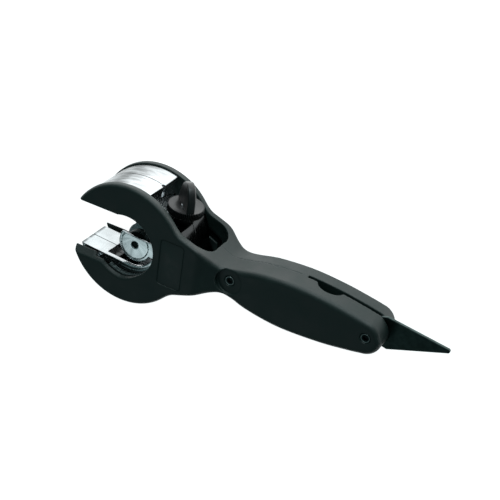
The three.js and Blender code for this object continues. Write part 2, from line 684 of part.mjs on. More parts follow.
const rotorBody = (() => {
  const rim = 0.6;
  let body = turned([
    [0, -ROTOR_HALF],
    [ROTOR_RADIUS - rim, -ROTOR_HALF],
    [ROTOR_RADIUS, rim - ROTOR_HALF],
    [ROTOR_RADIUS, ROTOR_HALF - rim],
    [ROTOR_RADIUS - rim, ROTOR_HALF],
    [0, ROTOR_HALF],
  ], 72);
  body = body.subtract(slab(throat(THROAT_RADIUS), -THROUGH, THROUGH));
  for (const [, side] of sides) {
    body = body.subtract(sideSlab(throat(RIM_THROAT), side, CORE_HALF, THROUGH));
  }
  body = body.subtract(box(KNOB_POCKET.x, THROUGH, KNOB_POCKET.y, THROUGH, -THROUGH, THROUGH));
  body = body.subtract(slab(chamber(), -CHAMBER_HALF, CHAMBER_HALF));
  body = body.subtract(box(
    POCKET_START,
    AXLE.x,
    -THROAT_RADIUS - POCKET_DEPTH,
    0,
    -CHAMBER_HALF,
    CHAMBER_HALF,
  ));
  body = body.subtract(barY(SCREW_RADIUS + GAP, 0, THROUGH, SCREW_X));
  for (const { x, y } of rollerCentres) {
    body = body.subtract(bar(ROLLER_RADIUS + 0.4, -ROLLER_HALF - GAP, ROLLER_HALF + GAP, x, y));
    body = body.subtract(bar(ROLLER_PIN + GAP, -THROUGH, THROUGH, x, y));
  }
  for (const [x, y] of ROTOR_SCREWS) {
    body = body.subtract(bar(ROTOR_SHANK + GAP, GAP - CORE_HALF, THROUGH, x, y));
    body = body.subtract(bar(ROTOR_HEAD + GAP, CORE_HALF, THROUGH, x, y));
  }
  for (const [, side] of sides) {
    for (const angle of RIVET_ANGLES) {
      const [x, y] = polar((RING_BORE + TOOTH_ROOT) / 2, angle);
      body = body.subtract(sideBar(RIVET_RADIUS + GAP, side, CORE_HALF - GAP, THROUGH, x, y, 12));
    }
  }
  return body;
})();

piece(rotor, 'rotor_front_half', rotorBody.intersect(
  box(-THROUGH, THROUGH, -THROUGH, THROUGH, SEAM, THROUGH),
), zinc);
piece(rotor, 'rotor_back_half', rotorBody.intersect(
  box(-THROUGH, THROUGH, -THROUGH, THROUGH, -THROUGH, -SEAM),
), zinc);

ROTOR_SCREWS.forEach(([x, y], i) => {
  const shank = bar(ROTOR_SHANK, 2 * GAP - CORE_HALF, CORE_HALF + 1, x, y);
  const head = bar(ROTOR_HEAD, CORE_HALF + GAP, ROTOR_HALF - GAP, x, y);
  const socket = hexBar(ROTOR_HEAD, ROTOR_HALF - 1.5, THROUGH, x, y);
  piece(rotor, `rotor_screw_${i + 1}`, shank.add(head).subtract(socket), steel);
});

// ---------------------------------------------------------------- ratchet rings

// Saw teeth: each rises straight at its own angle and slopes down to the next.
const toothPitch = 360 / TEETH;
const toothAngle = (i) => PAWL_NOSE - ROTOR_TURN + i * toothPitch;

function ratchetOutline() {
  const points = [];
  for (let i = 0; i < TEETH; i += 1) {
    const angle = toothAngle(i);
    points.push(polar(TOOTH_ROOT, angle));
    points.push(polar(TOOTH_TIP, angle));
    points.push(polar((TOOTH_TIP + TOOTH_ROOT) / 2, angle + toothPitch / 2));
  }
  return points;
}

for (const [name, side] of sides) {
  let body = sideSlab(ratchetOutline(), side, ROTOR_HALF + GAP, ROTOR_HALF + GAP + RING_THICK);
  body = body.subtract(bar(RING_BORE, -THROUGH, THROUGH, 0, 0, 40));
  body = body.subtract(slab([
    [0, 0],
    polar(THROUGH, toothAngle(RING_LAST)),
    [-THROUGH, THROUGH],
    [-THROUGH, -THROUGH],
    polar(THROUGH, toothAngle(RING_FIRST)),
  ], -THROUGH, THROUGH));
  RIVET_ANGLES.forEach((angle, i) => {
    const [x, y] = polar((RING_BORE + TOOTH_ROOT) / 2, angle);
    body = body.subtract(sideBar(RIVET_RADIUS + GAP, side, 0, THROUGH, x, y, 12));
    const rivet = sideBar(RIVET_RADIUS, side, CORE_HALF, ROTOR_HALF + GAP + RING_THICK - 0.1, x, y, 12);
    piece(rotor, `${name}_ring_rivet_${i + 1}`, rivet, steel);
  });
  piece(rotor, `${name}_ratchet_ring`, body, toolSteel);
}

// ---------------------------------------------------------------- guide rollers

['left', 'right'].forEach((name, i) => {
  const { x, y } = rollerCentres[i];
  const groove = 0.8;
  const roller = turned([
    [ROLLER_PIN + GAP, -ROLLER_HALF],
    [ROLLER_RADIUS, -ROLLER_HALF],
    [ROLLER_RADIUS, -ROLLER_RADIUS / 2],
    [ROLLER_RADIUS - groove, -ROLLER_RADIUS / 4],
    [ROLLER_RADIUS - groove, ROLLER_RADIUS / 4],
    [ROLLER_RADIUS, ROLLER_RADIUS / 2],
    [ROLLER_RADIUS, ROLLER_HALF],
    [ROLLER_PIN + GAP, ROLLER_HALF],
  ], 20, x, y);
  piece(rotor, `${name}_guide_roller`, roller, steel);
  piece(rotor, `${name}_roller_pin`, bar(ROLLER_PIN, GAP - CORE_HALF, CORE_HALF - GAP, x, y), steel);
});

// ---------------------------------------------------------------- knob, feed screw and its washers

const knobFoot = KNOB_POCKET.y + 1.1;
const knobSeat = KNOB_FACE - KNOB_DISC;

function knob() {
  const disc = barY(KNOB_RADIUS, knobSeat, KNOB_FACE, SCREW_X, 32);
  const hub = barY(SCREW_RADIUS * 2.1, knobFoot, knobSeat + 1, SCREW_X);
  const arch = arc(0, 0, 1, 0, 180, 18).map(([x, y]) => [WING_HALF * x, WING_HEIGHT * y]);
  const wing = prism(arch, -WING_THICK / 2, WING_THICK / 2);
  wing.rotateY(-rad(WING_ANGLE));
  wing.translate(SCREW_X, KNOB_FACE - 0.2, 0);
  return fuse([disc, hub, solid(wing)])
    .subtract(barY(SCREW_RADIUS + GAP, 0, KNOB_FACE + 0.6, SCREW_X));
}

function ringY(outer, inner, low, high) {
  return barY(outer, low, high, SCREW_X).subtract(barY(inner, low - 1, high + 1, SCREW_X));
}

piece(rotor, 'feed_knob', knob(), knobBlack);
piece(rotor, 'feed_screw', barY(SCREW_RADIUS, SCREW_BOTTOM, KNOB_FACE + GAP, SCREW_X), steel);
piece(rotor, 'thrust_washer', ringY(
  SCREW_RADIUS * 2.1,
  SCREW_RADIUS + GAP,
  KNOB_POCKET.y + GAP,
  knobFoot - GAP,
), brass);
piece(rotor, 'screw_retaining_clip', ringY(
  SCREW_RADIUS * 1.6,
  SCREW_RADIUS + GAP / 2,
  shaftTop - GAP - CLIP_THICK,
  shaftTop - GAP,
), springSteel);

// ---------------------------------------------------------------- carriage

const carriageHalf = CHAMBER_HALF - GAP;

function carriage() {
  const plateFace = carriageHalf - 0.5;
  const round = slab([
    ...arc(AXLE.x, AXLE.y, PLATE_RADIUS, 150, 390, 24),
  ], -plateFace, plateFace);
  const raised = bar(PLATE_STEP, -carriageHalf, carriageHalf, AXLE.x, AXLE.y, 36);
  const arm = slab([
    [AXLE.x, PLATE_TOP],
    [AXLE.x, armFoot.y],
    [armFoot.x, armFoot.y],
    [blockRight, BLOCK_BOTTOM],
    [blockRight, BLOCK_TOP],
    [blockLeft, BLOCK_TOP],
    [blockLeft, PLATE_TOP],
  ], -plateFace, plateFace);
  const above = box(-THROUGH, blockLeft, PLATE_TOP, THROUGH, -THROUGH, THROUGH);
  const wheelRoom = carriageHalf - PLATE_THICK;
  let body = fuse([round, raised]).subtract(above).add(arm);
  body = body.subtract(bar(WHEEL_RADIUS + 0.6, -wheelRoom, wheelRoom, AXLE.x, AXLE.y, 32));
  body = body.subtract(box(-THROUGH, AXLE.x, -THROUGH, THROUGH, -wheelRoom, wheelRoom));
  body = body.subtract(bar(AXLE_RADIUS + GAP, -THROUGH, THROUGH, AXLE.x, AXLE.y));
  return body.subtract(barY(nutRadius + GAP, -THROUGH, THROUGH, SCREW_X));
}

piece(rotor, 'wheel_carriage', carriage(), zinc);
piece(rotor, 'feed_nut', ringY(
  nutRadius,
  SCREW_RADIUS + GAP,
  BLOCK_BOTTOM + GAP,
  BLOCK_TOP - GAP,
), brass);
piece(rotor, 'wheel_axle', bar(
  AXLE_RADIUS,
  0.6 - carriageHalf,
  carriageHalf - 0.6,
  AXLE.x,
  AXLE.y,
), steel);

// ---------------------------------------------------------------- cutting wheel and its sleeves

const bore = AXLE_RADIUS + GAP;
const shoulder = WHEEL_RADIUS * 0.72;
piece(rotor, 'cutting_wheel', turned([
  [bore, -WHEEL_HALF],
  [shoulder, -WHEEL_HALF],
  [WHEEL_RADIUS - 0.1, -0.12],
  [WHEEL_RADIUS - 0.1, 0.12],
  [shoulder, WHEEL_HALF],
  [bore, WHEEL_HALF],
], 32, AXLE.x, AXLE.y), toolSteel);
for (const [name, side] of sides) {
  const low = WHEEL_HALF + GAP;
  const high = carriageHalf - PLATE_THICK - GAP;
  const body = sideBar(SLEEVE_RADIUS, side, low, high, AXLE.x, AXLE.y, 28)
    .subtract(bar(bore, -THROUGH, THROUGH, AXLE.x, AXLE.y));
  piece(rotor, `${name}_wheel_sleeve`, body, blackSteel);
}

// ---------------------------------------------------------------- origin at the footprint's middle

tool.updateMatrixWorld(true);
const extent = new THREE.Box3().setFromObject(tool, true);
const middle = extent.getCenter(new THREE.Vector3());
tool.position.set(-middle.x, -middle.y, -extent.min.z);

const part = new THREE.Group();
part.add(tool);

export default part;
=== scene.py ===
"""Looks of a ratcheting tube cutter: moulded handle, die-cast rotor, screw feed, wheel and reamer.

Shapes are worked out in millimetres about the centre of the head, with Z through the tool's
thickness, and are put in the part's own frame as they become meshes. The rotor's pieces are
worked out square with the rotor, which stands a few degrees off the handle.
"""

import json
import math
from types import SimpleNamespace

import bpy
import numpy as np
from mathutils import Matrix


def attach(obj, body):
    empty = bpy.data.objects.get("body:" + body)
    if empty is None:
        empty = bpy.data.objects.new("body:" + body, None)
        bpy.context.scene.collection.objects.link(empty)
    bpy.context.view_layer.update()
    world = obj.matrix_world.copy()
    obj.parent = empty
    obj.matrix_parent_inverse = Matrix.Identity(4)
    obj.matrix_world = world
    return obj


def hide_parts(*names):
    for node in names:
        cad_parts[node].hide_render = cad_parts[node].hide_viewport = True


bl_info = {
    "name": "Ratcheting tube cutter",
    "version": (1, 0, 0),
    "blender": (4, 5, 0),
    "location": "3D View > Sidebar > Tube cutter",
    "description": "Builds the moulded, cast and turned pieces of a ratcheting tube cutter",
    "category": "Object",
}

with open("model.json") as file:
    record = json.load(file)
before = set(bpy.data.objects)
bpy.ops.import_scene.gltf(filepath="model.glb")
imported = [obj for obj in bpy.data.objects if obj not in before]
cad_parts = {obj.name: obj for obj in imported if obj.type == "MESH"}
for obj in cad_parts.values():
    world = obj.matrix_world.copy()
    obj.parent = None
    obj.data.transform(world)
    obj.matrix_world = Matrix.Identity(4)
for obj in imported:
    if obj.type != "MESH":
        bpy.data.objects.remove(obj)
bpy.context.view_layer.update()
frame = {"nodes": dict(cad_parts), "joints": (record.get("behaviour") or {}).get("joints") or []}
JOINTS = {joint["name"]: joint for joint in frame["joints"]}
HEAD = np.array(JOINTS["rotor_turn"]["pos_m"])
SLIDE = JOINTS["carriage_slide"]["axis"]
TURN = math.atan2(SLIDE[0], SLIDE[1])
MM = 0.001


def in_head(point):
    """A point of the part's frame, in millimetres about the centre of the head."""
    return (np.array(point) - HEAD) / MM


def in_rotor(point):
    """The same point, square with the rotor: turned back by the angle the rotor stands at."""
    x, y, z = in_head(point)
    cos, sin = math.cos(TURN), math.sin(TURN)
    return np.array([x * cos - y * sin, x * sin + y * cos, z])


PIVOT = in_head(JOINTS["reamer_fold"]["pos_m"])
PAWL = in_head(JOINTS["front_pawl_lift"]["pos_m"])
FEED = in_rotor(JOINTS["knob_turn"]["pos_m"])
AXLE = in_rotor(JOINTS["wheel_spin"]["pos_m"])
ROLLERS = {side: in_rotor(JOINTS[f"{side}_roller_spin"]["pos_m"]) for side in ("left", "right")}


# ---------------------------------------------------------------- sizes and colours

def length(name, millimetres, text):
    """A length that a user can change, shown in the scene's units."""
    return bpy.props.FloatProperty(
        name=name, description=text, default=millimetres * MM, min=0, unit="LENGTH", precision=5)


def colour(name, code, text):
    """A colour that a user can change, from an sRGB hex value."""
    return bpy.props.FloatVectorProperty(
        name=name, description=text, default=linear(code)[:3], size=3, min=0, max=1, subtype="COLOR")


def linear(code):
    """An sRGB hex value as linear red, green, blue and alpha."""
    parts = [int(code[i:i + 2], 16) / 255 for i in (1, 3, 5)]
    return tuple(c / 12.92 if c <= 0.04045 else ((c + 0.055) / 1.055) ** 2.4 for c in parts) + (1.0,)


class HandleSizes(bpy.types.PropertyGroup):
    head_radius: length("Head radius", 39.98, "Radius of the round cheeks")
    head_half: length("Head half thickness", 21.5, "From the mid-plane to a cheek's outer face")
    head_edge: length("Head rounding", 2.4, "Rounding of the cheeks' rims")
    grip_half: length("Grip half thickness", 14.0, "From the mid-plane to the grip's side")
    grip_edge: length("Grip rounding", 3.2, "Rounding along the grip")
    crown: length("Grip crown", 1.5, "How much lower the grip's top is at its sides")
    gap_half: length("Rotor gap", 16.3, "From the mid-plane to a cheek's inner face")
    ramp_start: length("Ramp start", 50.5, "Where the sides start to slope to the grip")
    ramp_end: length("Ramp end", 66.0, "Where the slope meets the grip")
    mouth_radius: length("Mouth radius", 20.4, "Radius of the mouth's round end")
    upper_jaw: length("Upper jaw", 19.3, "Height of the upper jaw's edge")
    lower_jaw: length("Lower jaw", 14.8, "Depth of the lower jaw's lip")
    lip_fall: length("Lip slope", 3.7, "How far the lower lip falls away outwards")
    window_end: length("Window end", 54.6, "Where the knob's window ends in the neck")
    window_corner: length("Window corner", 10.0, "Radius of the window's corners")
    race_radius: length("Race radius", 26.7, "Pocket for the ratchet ring in each cheek")
    race_floor: length("Race floor", 18.9, "From the mid-plane to the pocket's floor")
    spot_radius: length("Spot face radius", 8.2, "Round flat about the neck screw")
    spot_floor: length("Spot face height", 13.0, "From the mid-plane to the spot face")
    label_width: length("Label width", 16.0, "Width of the blank label's recess")
    label_height: length("Label height", 31.0, "Height of the blank label's recess")
    label_floor: length("Label floor", 20.6, "From the mid-plane to the recess's floor")
    notch_radius: length("Notch length", 8.4, "Half the length of the thumb notch")
    notch_deep: length("Notch depth", 6.2, "How far the notch reaches over the slot")


class RotorSizes(bpy.types.PropertyGroup):
    radius: length("Rotor radius", 39.0, "Radius of the rotor's band")
    half: length("Rotor half width", 16.0, "Half the width of the rotor")
    core_half: length("Core half width", 13.0, "Half the width of the flats inside the rims")
    throat: length("Throat radius", 17.8, "Radius of the rotor's throat")
    rim_throat: length("Rim throat radius", 20.5, "Throat of the rims behind the cheeks")
    chamber_half: length("Chamber half width", 10.0, "Half the width of the carriage's space")
    pocket_start: length("Pocket start", 16.6, "Distance of the lower pocket's end from the centre")
    pocket_deep: length("Pocket depth", 4.0, "Depth of the lower pocket")
    knob_left: length("Knob pocket side", 9.0, "Where the band is cut away for the knob")
    knob_floor: length("Knob pocket floor", 21.5, "Height of the pocket's floor")
    edge: length("Cast edge", 0.35, "Rounding of the cast edges")


class FeedSizes(bpy.types.PropertyGroup):
    knob_radius: length("Knob radius", 11.4, "Radius of the knurled disc")
    knob_face: length("Knob face", 32.3, "Height of the disc's face over the centre")
    knob_disc: length("Knob disc", 5.0, "Thickness of the disc")
    knurl_deep: length("Knurl depth", 0.9, "Depth of the flutes round the disc")
    wing_height: length("Wing height", 15.5, "Height of the finger wing")
    wing_half: length("Wing half width", 10.4, "Half the width of the finger wing")
    wing_thick: length("Wing thickness", 5.0, "Thickness of the finger wing")
    screw_radius: length("Screw radius", 3.0, "Radius over the feed screw's thread")
    pitch: length("Thread pitch", 1.5, "Pitch of the feed screw")
    thread_deep: length("Thread depth", 0.55, "Depth of the feed screw's thread")


class WheelSizes(bpy.types.PropertyGroup):
    wheel_radius: length("Wheel radius", 10.7, "Radius of the cutting wheel")
    wheel_half: length("Wheel half width", 1.6, "Half the width of the wheel's hub")
    sleeve_radius: length("Sleeve radius", 8.0, "Radius of the wheel's side sleeves")
    plate_radius: length("Plate radius", 11.6, "Radius of the carriage's side plates")
    plate_step: length("Plate step", 9.7, "Radius of the raised face on each plate")
    plate_face: length("Raised face", 9.7, "From the mid-plane to the raised face")
    plate_side: length("Plate side", 9.2, "From the mid-plane to the plate round it")
    plate_top: length("Plate top", 1.2, "Height of the plates' flat top")
    roller_radius: length("Roller radius", 4.0, "Radius of the guide rollers")
    roller_half: length("Roller half length", 9.4, "Half the length of the guide rollers")


class ReamerSizes(bpy.types.PropertyGroup):
    blade_half: length("Blade half thickness", 1.0, "Half the thickness of the blade")
    blade_reach: length("Blade reach", 46.15, "From the pivot to the tip")
    blade_tip: length("Tip radius", 1.4, "Radius of the blade's tip")
    blade_heel: length("Heel radius", 8.0, "Radius of the heel about the pivot")
    bevel: length("Edge bevel", 0.35, "Width of the ground bevel along the edges")


class FinishColours(bpy.types.PropertyGroup):
    nylon: colour("Handle", "#0b1d1b", "Glass-filled nylon of the handle")
    nylon_worn: colour("Handle, lighter", "#182625", "The nylon where it is rubbed")
    acetal: colour("Knob", "#0b0e0f", "Acetal of the feed knob")
    zinc: colour("Casting", "#edf1f3", "Plated zinc of the rotor and the carriage")
    plated: colour("Plated steel", "#b4babd", "Rollers, pins and feed screw")
    # This grey is the nuts' own plating; on the screws' rims it is a painted highlight.
    screws: colour("Screws", "#7d8988", "Plated nuts and the screws' worn rims")
    oxide: colour("Black steel", "#1b2424", "Screws, sleeves and reamer")
    ground: colour("Ground steel", "#a3a9ab", "Cutting wheel, ring and pawls")
    ring: colour("Ratchet ring", "#616b6b", "Phosphated steel of the ratchet rings")
    blade: colour("Blade", "#33403e", "Oxidised sides of the reamer")
    edge: colour("Blade edge", "#566462", "Ground edge of the reamer")
    brass: colour("Brass", "#b5924c", "Bushing, nut and washer")
    floor: colour("Floor", "#f4f5f5", "Pale table under the tool")


GROUPS = {
    "cutter_handle": HandleSizes,
    "cutter_rotor": RotorSizes,
    "cutter_feed": FeedSizes,
    "cutter_wheel": WheelSizes,
    "cutter_reamer": ReamerSizes,
    "cutter_colours": FinishColours,
}


def sizes(group):
    """A group's lengths in millimetres."""
    held = getattr(bpy.context.scene, group)
    return SimpleNamespace(**{key: getattr(held, key) / MM for key in GROUPS[group].__annotations__})


# ---------------------------------------------------------------- solids as fields
#
# A field is the distance to a solid's surface in millimetres, or nearly: negative inside, zero on
# the surface, positive outside. np.minimum of two puts their solids together and np.maximum keeps
# what they share, both with a sharp edge.

def join(a, b, blend):
    """The two solids together, with a fillet: the least of both, lowered by h * h * blend / 4 near both."""
    near = np.maximum(blend - np.abs(a - b), 0) / blend
    return np.minimum(a, b) - near * near * blend / 4


def common(a, b, blend):
    """What the two solids share, with a rounded edge: join() turned inside out."""
    return -join(-a, -b, blend)


def cut(a, b, blend=0.4):
    """The first solid without the second, its new edges rounded."""
    return common(a, -b, blend)


def slab(plan, height, edge):
    """A plan carried through a thickness, with round edges: the length of the two positive distances."""
    p, h = plan + edge, height + edge
    return np.minimum(np.maximum(p, h), 0) + np.hypot(np.maximum(p, 0), np.maximum(h, 0)) - edge


def disc(x, y, centre, radius):
    """Distance to a circle in plan: to its centre, less the radius."""
    return np.hypot(x - centre[0], y - centre[1]) - radius


def block(x, y, left, right, low, high, corner=0.0):
    """Distance to a rectangle in plan: the length of what lies past its sides, less the corners' radius."""
    dx = np.abs(x - (left + right) / 2) - (right - left) / 2 + corner
    dy = np.abs(y - (low + high) / 2) - (high - low) / 2 + corner
    return np.hypot(np.maximum(dx, 0), np.maximum(dy, 0)) + np.minimum(np.maximum(dx, dy), 0) - corner


def stadium(x, y, start, end, radius):
    """Distance to a bar with round ends in plan: to the nearest point of its middle, less the radius."""
    ax, ay = start[0], start[1]
    bx, by = end[0] - ax, end[1] - ay
    along = np.clip(((x - ax) * bx + (y - ay) * by) / (bx * bx + by * by), 0, 1)
    return np.hypot(x - ax - along * bx, y - ay - along * by) - radius


def hexagon(x, y, centre, across):
    """Distance to a hexagon in plan: the furthest of its three pairs of flats."""
    dx, dy = x - centre[0], y - centre[1]
    pairs = [np.abs(dx * math.cos(a) + dy * math.sin(a)) for a in (0, math.pi / 3, -math.pi / 3)]
    return np.maximum(np.maximum(pairs[0], pairs[1]), pairs[2]) - across / 2


def mouth(x, y, radius, top=None, bottom=None):
    """A slot open to the left with a round end at the origin."""
    top = radius if top is None else top
    bottom = radius if bottom is None else bottom
    return np.minimum(np.hypot(x, y) - radius, np.maximum(x, np.maximum(y - top, -bottom - y)))


def levels(low, high, step, joint=None):
    """Grid planes from low to high, and if the piece ends at a joint's plane, two planes close about it."""
    planes = np.arange(low, high + step, step)
    if joint is None:
        return planes
    clear = planes[np.abs(planes - joint) > step * 0.6]
    return np.sort(np.append(clear, [joint - 0.04, joint + 0.04]))


def skin(field, axes):
    """The surface where a field is zero, as points and faces.

    The field is sampled on a grid. A cell whose corners differ in sign gets one point, the mean of
    the crossings on its edges, and each grid edge that crosses the surface gets a face over the
    four cells round it. Each point then moves onto the surface: p - f * grad f / |grad f|^2.
    """
    value = field(*np.meshgrid(*axes, indexing="ij", sparse=True))
    value = np.ascontiguousarray(np.broadcast_to(value, [len(a) for a in axes]))
    inside = value < 0
    corners = [(i, j, k) for i in (0, 1) for j in (0, 1) for k in (0, 1)]
    cell = tuple(n - 1 for n in value.shape)
    count = sum(inside[i:cell[0] + i, j:cell[1] + j, k:cell[2] + k].astype(np.int8) for i, j, k in corners)
    mixed = (count > 0) & (count < 8)
    index = np.full(cell, -1, np.int64)
    index[mixed] = np.arange(np.count_nonzero(mixed))
    cells = np.argwhere(mixed)
    total, hits = np.zeros(cells.shape), np.zeros(len(cells))
    for axis in range(3):
        for corner in (c for c in corners if c[axis] == 0):
            start = cells + corner
            end = start.copy()
            end[:, axis] += 1
            a, b = value[tuple(start.T)], value[tuple(end.T)]
            crosses = (a < 0) != (b < 0)
            share = np.where(crosses, a / np.where(crosses, a - b, 1), 0)
            place = start.astype(float)
            place[:, axis] += share
            total += place * crosses[:, None]
            hits += crosses
    places = (total / hits[:, None]).T
    points = np.column_stack([
        np.interp(place, np.arange(len(axis)), axis) for place, axis in zip(places, axes)])
    faces = []
    for axis in range(3):
        one, two = (axis + 1) % 3, (axis + 2) % 3
        first = np.take(inside, range(cell[axis]), axis)
        second = np.take(inside, range(1, cell[axis] + 1), axis)
        edges = np.argwhere(first != second)
        edges = edges[(edges[:, one] > 0) & (edges[:, two] > 0)]
        edges = edges[(edges[:, one] < cell[one]) & (edges[:, two] < cell[two])]
        ring = []
        for back_one, back_two in ((1, 1), (0, 1), (0, 0), (1, 0)):
            corner = edges.copy()
            corner[:, one] -= back_one
            corner[:, two] -= back_two
            ring.append(index[tuple(corner.T)])
        quad = np.stack(ring, 1)
        flip = ~first[tuple(edges.T)]
        quad[flip] = quad[flip][:, ::-1]
        faces.append(quad)
    step = axes[0][1] - axes[0][0]
    reach = step / 4
    for _ in range(3):
        slope = np.stack([
            field(*(points + shift).T) - field(*(points - shift).T) for shift in np.eye(3) * reach], 1)
        slope /= 2 * reach
        here = field(*points.T)
        move = slope * (here / np.maximum((slope * slope).sum(1), 0.05))[:, None]
        size = np.linalg.norm(move, axis=1)
        points -= move * np.minimum(1, step * 0.45 / np.maximum(size, 1e-9))[:, None]
    return welded(points, np.concatenate(faces))


def welded(points, quads):
    """Makes one of points that moved onto each other. Faces that this closes lose a side, or go."""
    points, index = np.unique(np.round(points, 5), axis=0, return_inverse=True)
    quads = index.reshape(-1)[quads]
    apart = quads != np.roll(quads, -1, 1)
    folded = (quads[:, 0] == quads[:, 2]) | (quads[:, 1] == quads[:, 3])
    sides = np.where(folded, 0, apart.sum(1))
    threes = sides == 3
    return points, [quads[sides == 4], quads[threes][apart[threes]].reshape(-1, 3)]


# ---------------------------------------------------------------- surfaces on grids

def lathe(profile, turns=64, radius_of=None):
    """A profile of (radius, height) turned about Z, with a flat face at each end of the profile.

    A point is (r cos a, r sin a, h). radius_of(a, s, r) may change r with the angle and with the
    place s along the profile. A profile that ends where it starts makes a ring, without the faces.
    """
    profile = np.array(profile, float)
    ringed = np.allclose(profile[0], profile[-1])
    body = profile[:-1] if ringed else profile
    angle = np.linspace(0, 2 * math.pi, turns, endpoint=False)[:, None]
    place = np.arange(len(body))[None, :]
    radius = np.broadcast_to(body[:, 0], (turns, len(body))).copy()
    if radius_of:
        radius = radius_of(angle, place, radius)
    height = np.broadcast_to(body[:, 1], radius.shape)
    points = np.stack([radius * np.cos(angle), radius * np.sin(angle), height], 2).reshape(-1, 3)
    rows = len(body)
    around = np.arange(turns)
    steps = np.arange(rows if ringed else rows - 1)
    a, s = np.meshgrid(around, steps, indexing="ij")
    after, above = (a + 1) % turns, (s + 1) % rows
    quads = np.stack([a * rows + s, after * rows + s, after * rows + above, a * rows + above], 2)
    faces = [quads.reshape(-1, 4)]
    if not ringed:
        faces += [around[None, ::-1] * rows, around[None, :] * rows + rows - 1]
    return points, faces


def inwards(outline, distance):
    """Moves each point of a counter-clockwise outline inwards, along the mean of its two edges' normals."""
    before, after = np.roll(outline, 1, 0), np.roll(outline, -1, 0)
    normals = []
    for edge in (outline - before, after - outline):
        normal = np.stack([-edge[:, 1], edge[:, 0]], 1)
        normals.append(normal / np.maximum(np.linalg.norm(normal, axis=1, keepdims=True), 1e-9))
    mean = normals[0] + normals[1]
    scale = np.maximum((mean * normals[0]).sum(1, keepdims=True), 0.6)
    return outline + distance * mean / scale


def stack(outline, rungs):
    """An outline carried up through rungs of (height, distance inwards), with a flat face at each end."""
    count, rows = len(outline), len(rungs)
    rings = [np.column_stack([inwards(outline, inset), np.full(count, height)]) for height, inset in rungs]
    i, row = np.meshgrid(np.arange(count), np.arange(rows - 1))
    after = (i + 1) % count
    low, high = row * count, (row + 1) * count
    quads = np.stack([low + i, low + after, high + after, high + i], 2)
    end = np.arange(count)[None, :]
    return np.concatenate(rings), [quads.reshape(-1, 4), end[:, ::-1], end + (rows - 1) * count]


def arc(centre, radius, start, end, steps):
    """Points on an arc, from one angle to another in degrees."""
    angle = np.radians(np.linspace(start, end, steps + 1))
    return np.column_stack([centre[0] + radius * np.cos(angle), centre[1] + radius * np.sin(angle)])


def curve(knots, steps=24):
    """A smooth line through knots, with mirrored ends: for each four neighbours a to d, the cubic
    (2b + (c - a) t + (2a - 5b + 4c - d) t^2 + (3b - a - 3c + d) t^3) / 2.
    """
    p = np.array(knots, float)
    p = np.concatenate([[2 * p[0] - p[1]], p, [2 * p[-1] - p[-2]]])
    t = np.linspace(0, 1, steps, endpoint=False)[None, :, None]
    a, b, c, d = (p[i:len(p) - 3 + i][:, None] for i in range(4))
    line = 2 * b + (c - a) * t + (2 * a - 5 * b + 4 * c - d) * t ** 2 + (3 * b - a - 3 * c + d) * t ** 3
    return np.concatenate([0.5 * line.reshape(-1, 2), p[-2:-1]])


def turned_to_y(points, x=0.0):
    """Turns a shape about Z so that its axis points along Y through (x, 0)."""
    return np.column_stack([points[:, 1] + x, points[:, 2], points[:, 0]])


def put(name, shape, material, body, stands_for=(), on_rotor=False, sharp=35.0, shift=(0, 0, 0)):
    """Makes a piece: moves the shape to its place in the part's frame, smooths it and makes it ride."""
    points, faces = shape
    points = np.asarray(points, float) + np.array(shift, float)
    if on_rotor:
        cos, sin = math.cos(TURN), math.sin(TURN)
        x, y = points[:, 0].copy(), points[:, 1].copy()
        points = np.column_stack([x * cos + y * sin, y * cos - x * sin, points[:, 2]])
    mesh = bpy.data.meshes.new(name)
    mesh.from_pydata(points * MM + HEAD, [], [face for block in faces for face in block.tolist()])
    mesh.validate()
    mesh.shade_smooth()
    mesh.set_sharp_from_angle(angle=math.radians(sharp))
    mesh.materials.append(material)
    piece = bpy.data.objects.new(name, mesh)
    bpy.context.scene.collection.objects.link(piece)
    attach(piece, body)
    if stands_for:
        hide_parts(*stands_for)
    return piece


def keep_sharp_at_joint(mesh):
    """Leaves a mesh's edges sharp only in the plane in which the two halves meet."""
    places = np.empty(len(mesh.vertices) * 3, np.float32)
    mesh.vertices.foreach_get("co", places)
    near = np.abs(places[2::3] - HEAD[2]) < 0.06 * MM
    ends = np.empty(len(mesh.edges) * 2, np.int32)
    mesh.edges.foreach_get("vertices", ends)
    sharp = np.empty(len(mesh.edges), bool)
    mesh.edges.foreach_get("use_edge_sharp", sharp)
    mesh.edges.foreach_set("use_edge_sharp", sharp & near[ends].reshape(-1, 2).all(1))


def gather(*shapes):
    """Several closed shapes as one."""
    points, faces, count = [], [], 0
    for some, blocks in shapes:
        points.append(some)
        faces += [block + count for block in blocks]
        count += len(some)
    return np.concatenate(points), faces


def finish_nodes(material, *names):
    """Gives carried-over CAD pieces a material."""
    for name in names:
        mesh = frame["nodes"][name].data
        mesh.materials.clear()
        mesh.materials.append(material)


# ---------------------------------------------------------------- materials

def node(tree, kind, inputs, out=0, **attributes):
    """Adds a node and gives one of its outputs.

    Inputs are in the node's own order or go by name or number. One that is another node's output
    is linked, and the others are set.
    """
    made = tree.nodes.new(kind)
    for key, value in attributes.items():
        setattr(made, key, value)
    for key, value in inputs.items() if isinstance(inputs, dict) else enumerate(inputs):
        if isinstance(value, bpy.types.NodeSocket):
            tree.links.new(value, made.inputs[key])
        else:
            made.inputs[key].default_value = value
    return made.outputs[out] if made.outputs else None


def begin(name):
    """An empty material with its tree and the object's own coordinates."""
    found = bpy.data.materials.get(name)
    if found:
        bpy.data.materials.remove(found)
    material = bpy.data.materials.new(name)
    material.use_nodes = True
    material.node_tree.nodes.clear()
    return material, material.node_tree, node(material.node_tree, "ShaderNodeTexCoord", {}, "Object")


def tint(key, share=1.0):
    """A finish's colour, made darker or lighter by a share."""
    held = getattr(bpy.context.scene.cutter_colours, key)
    return tuple(min(c * share, 1.0) for c in held) + (1.0,)


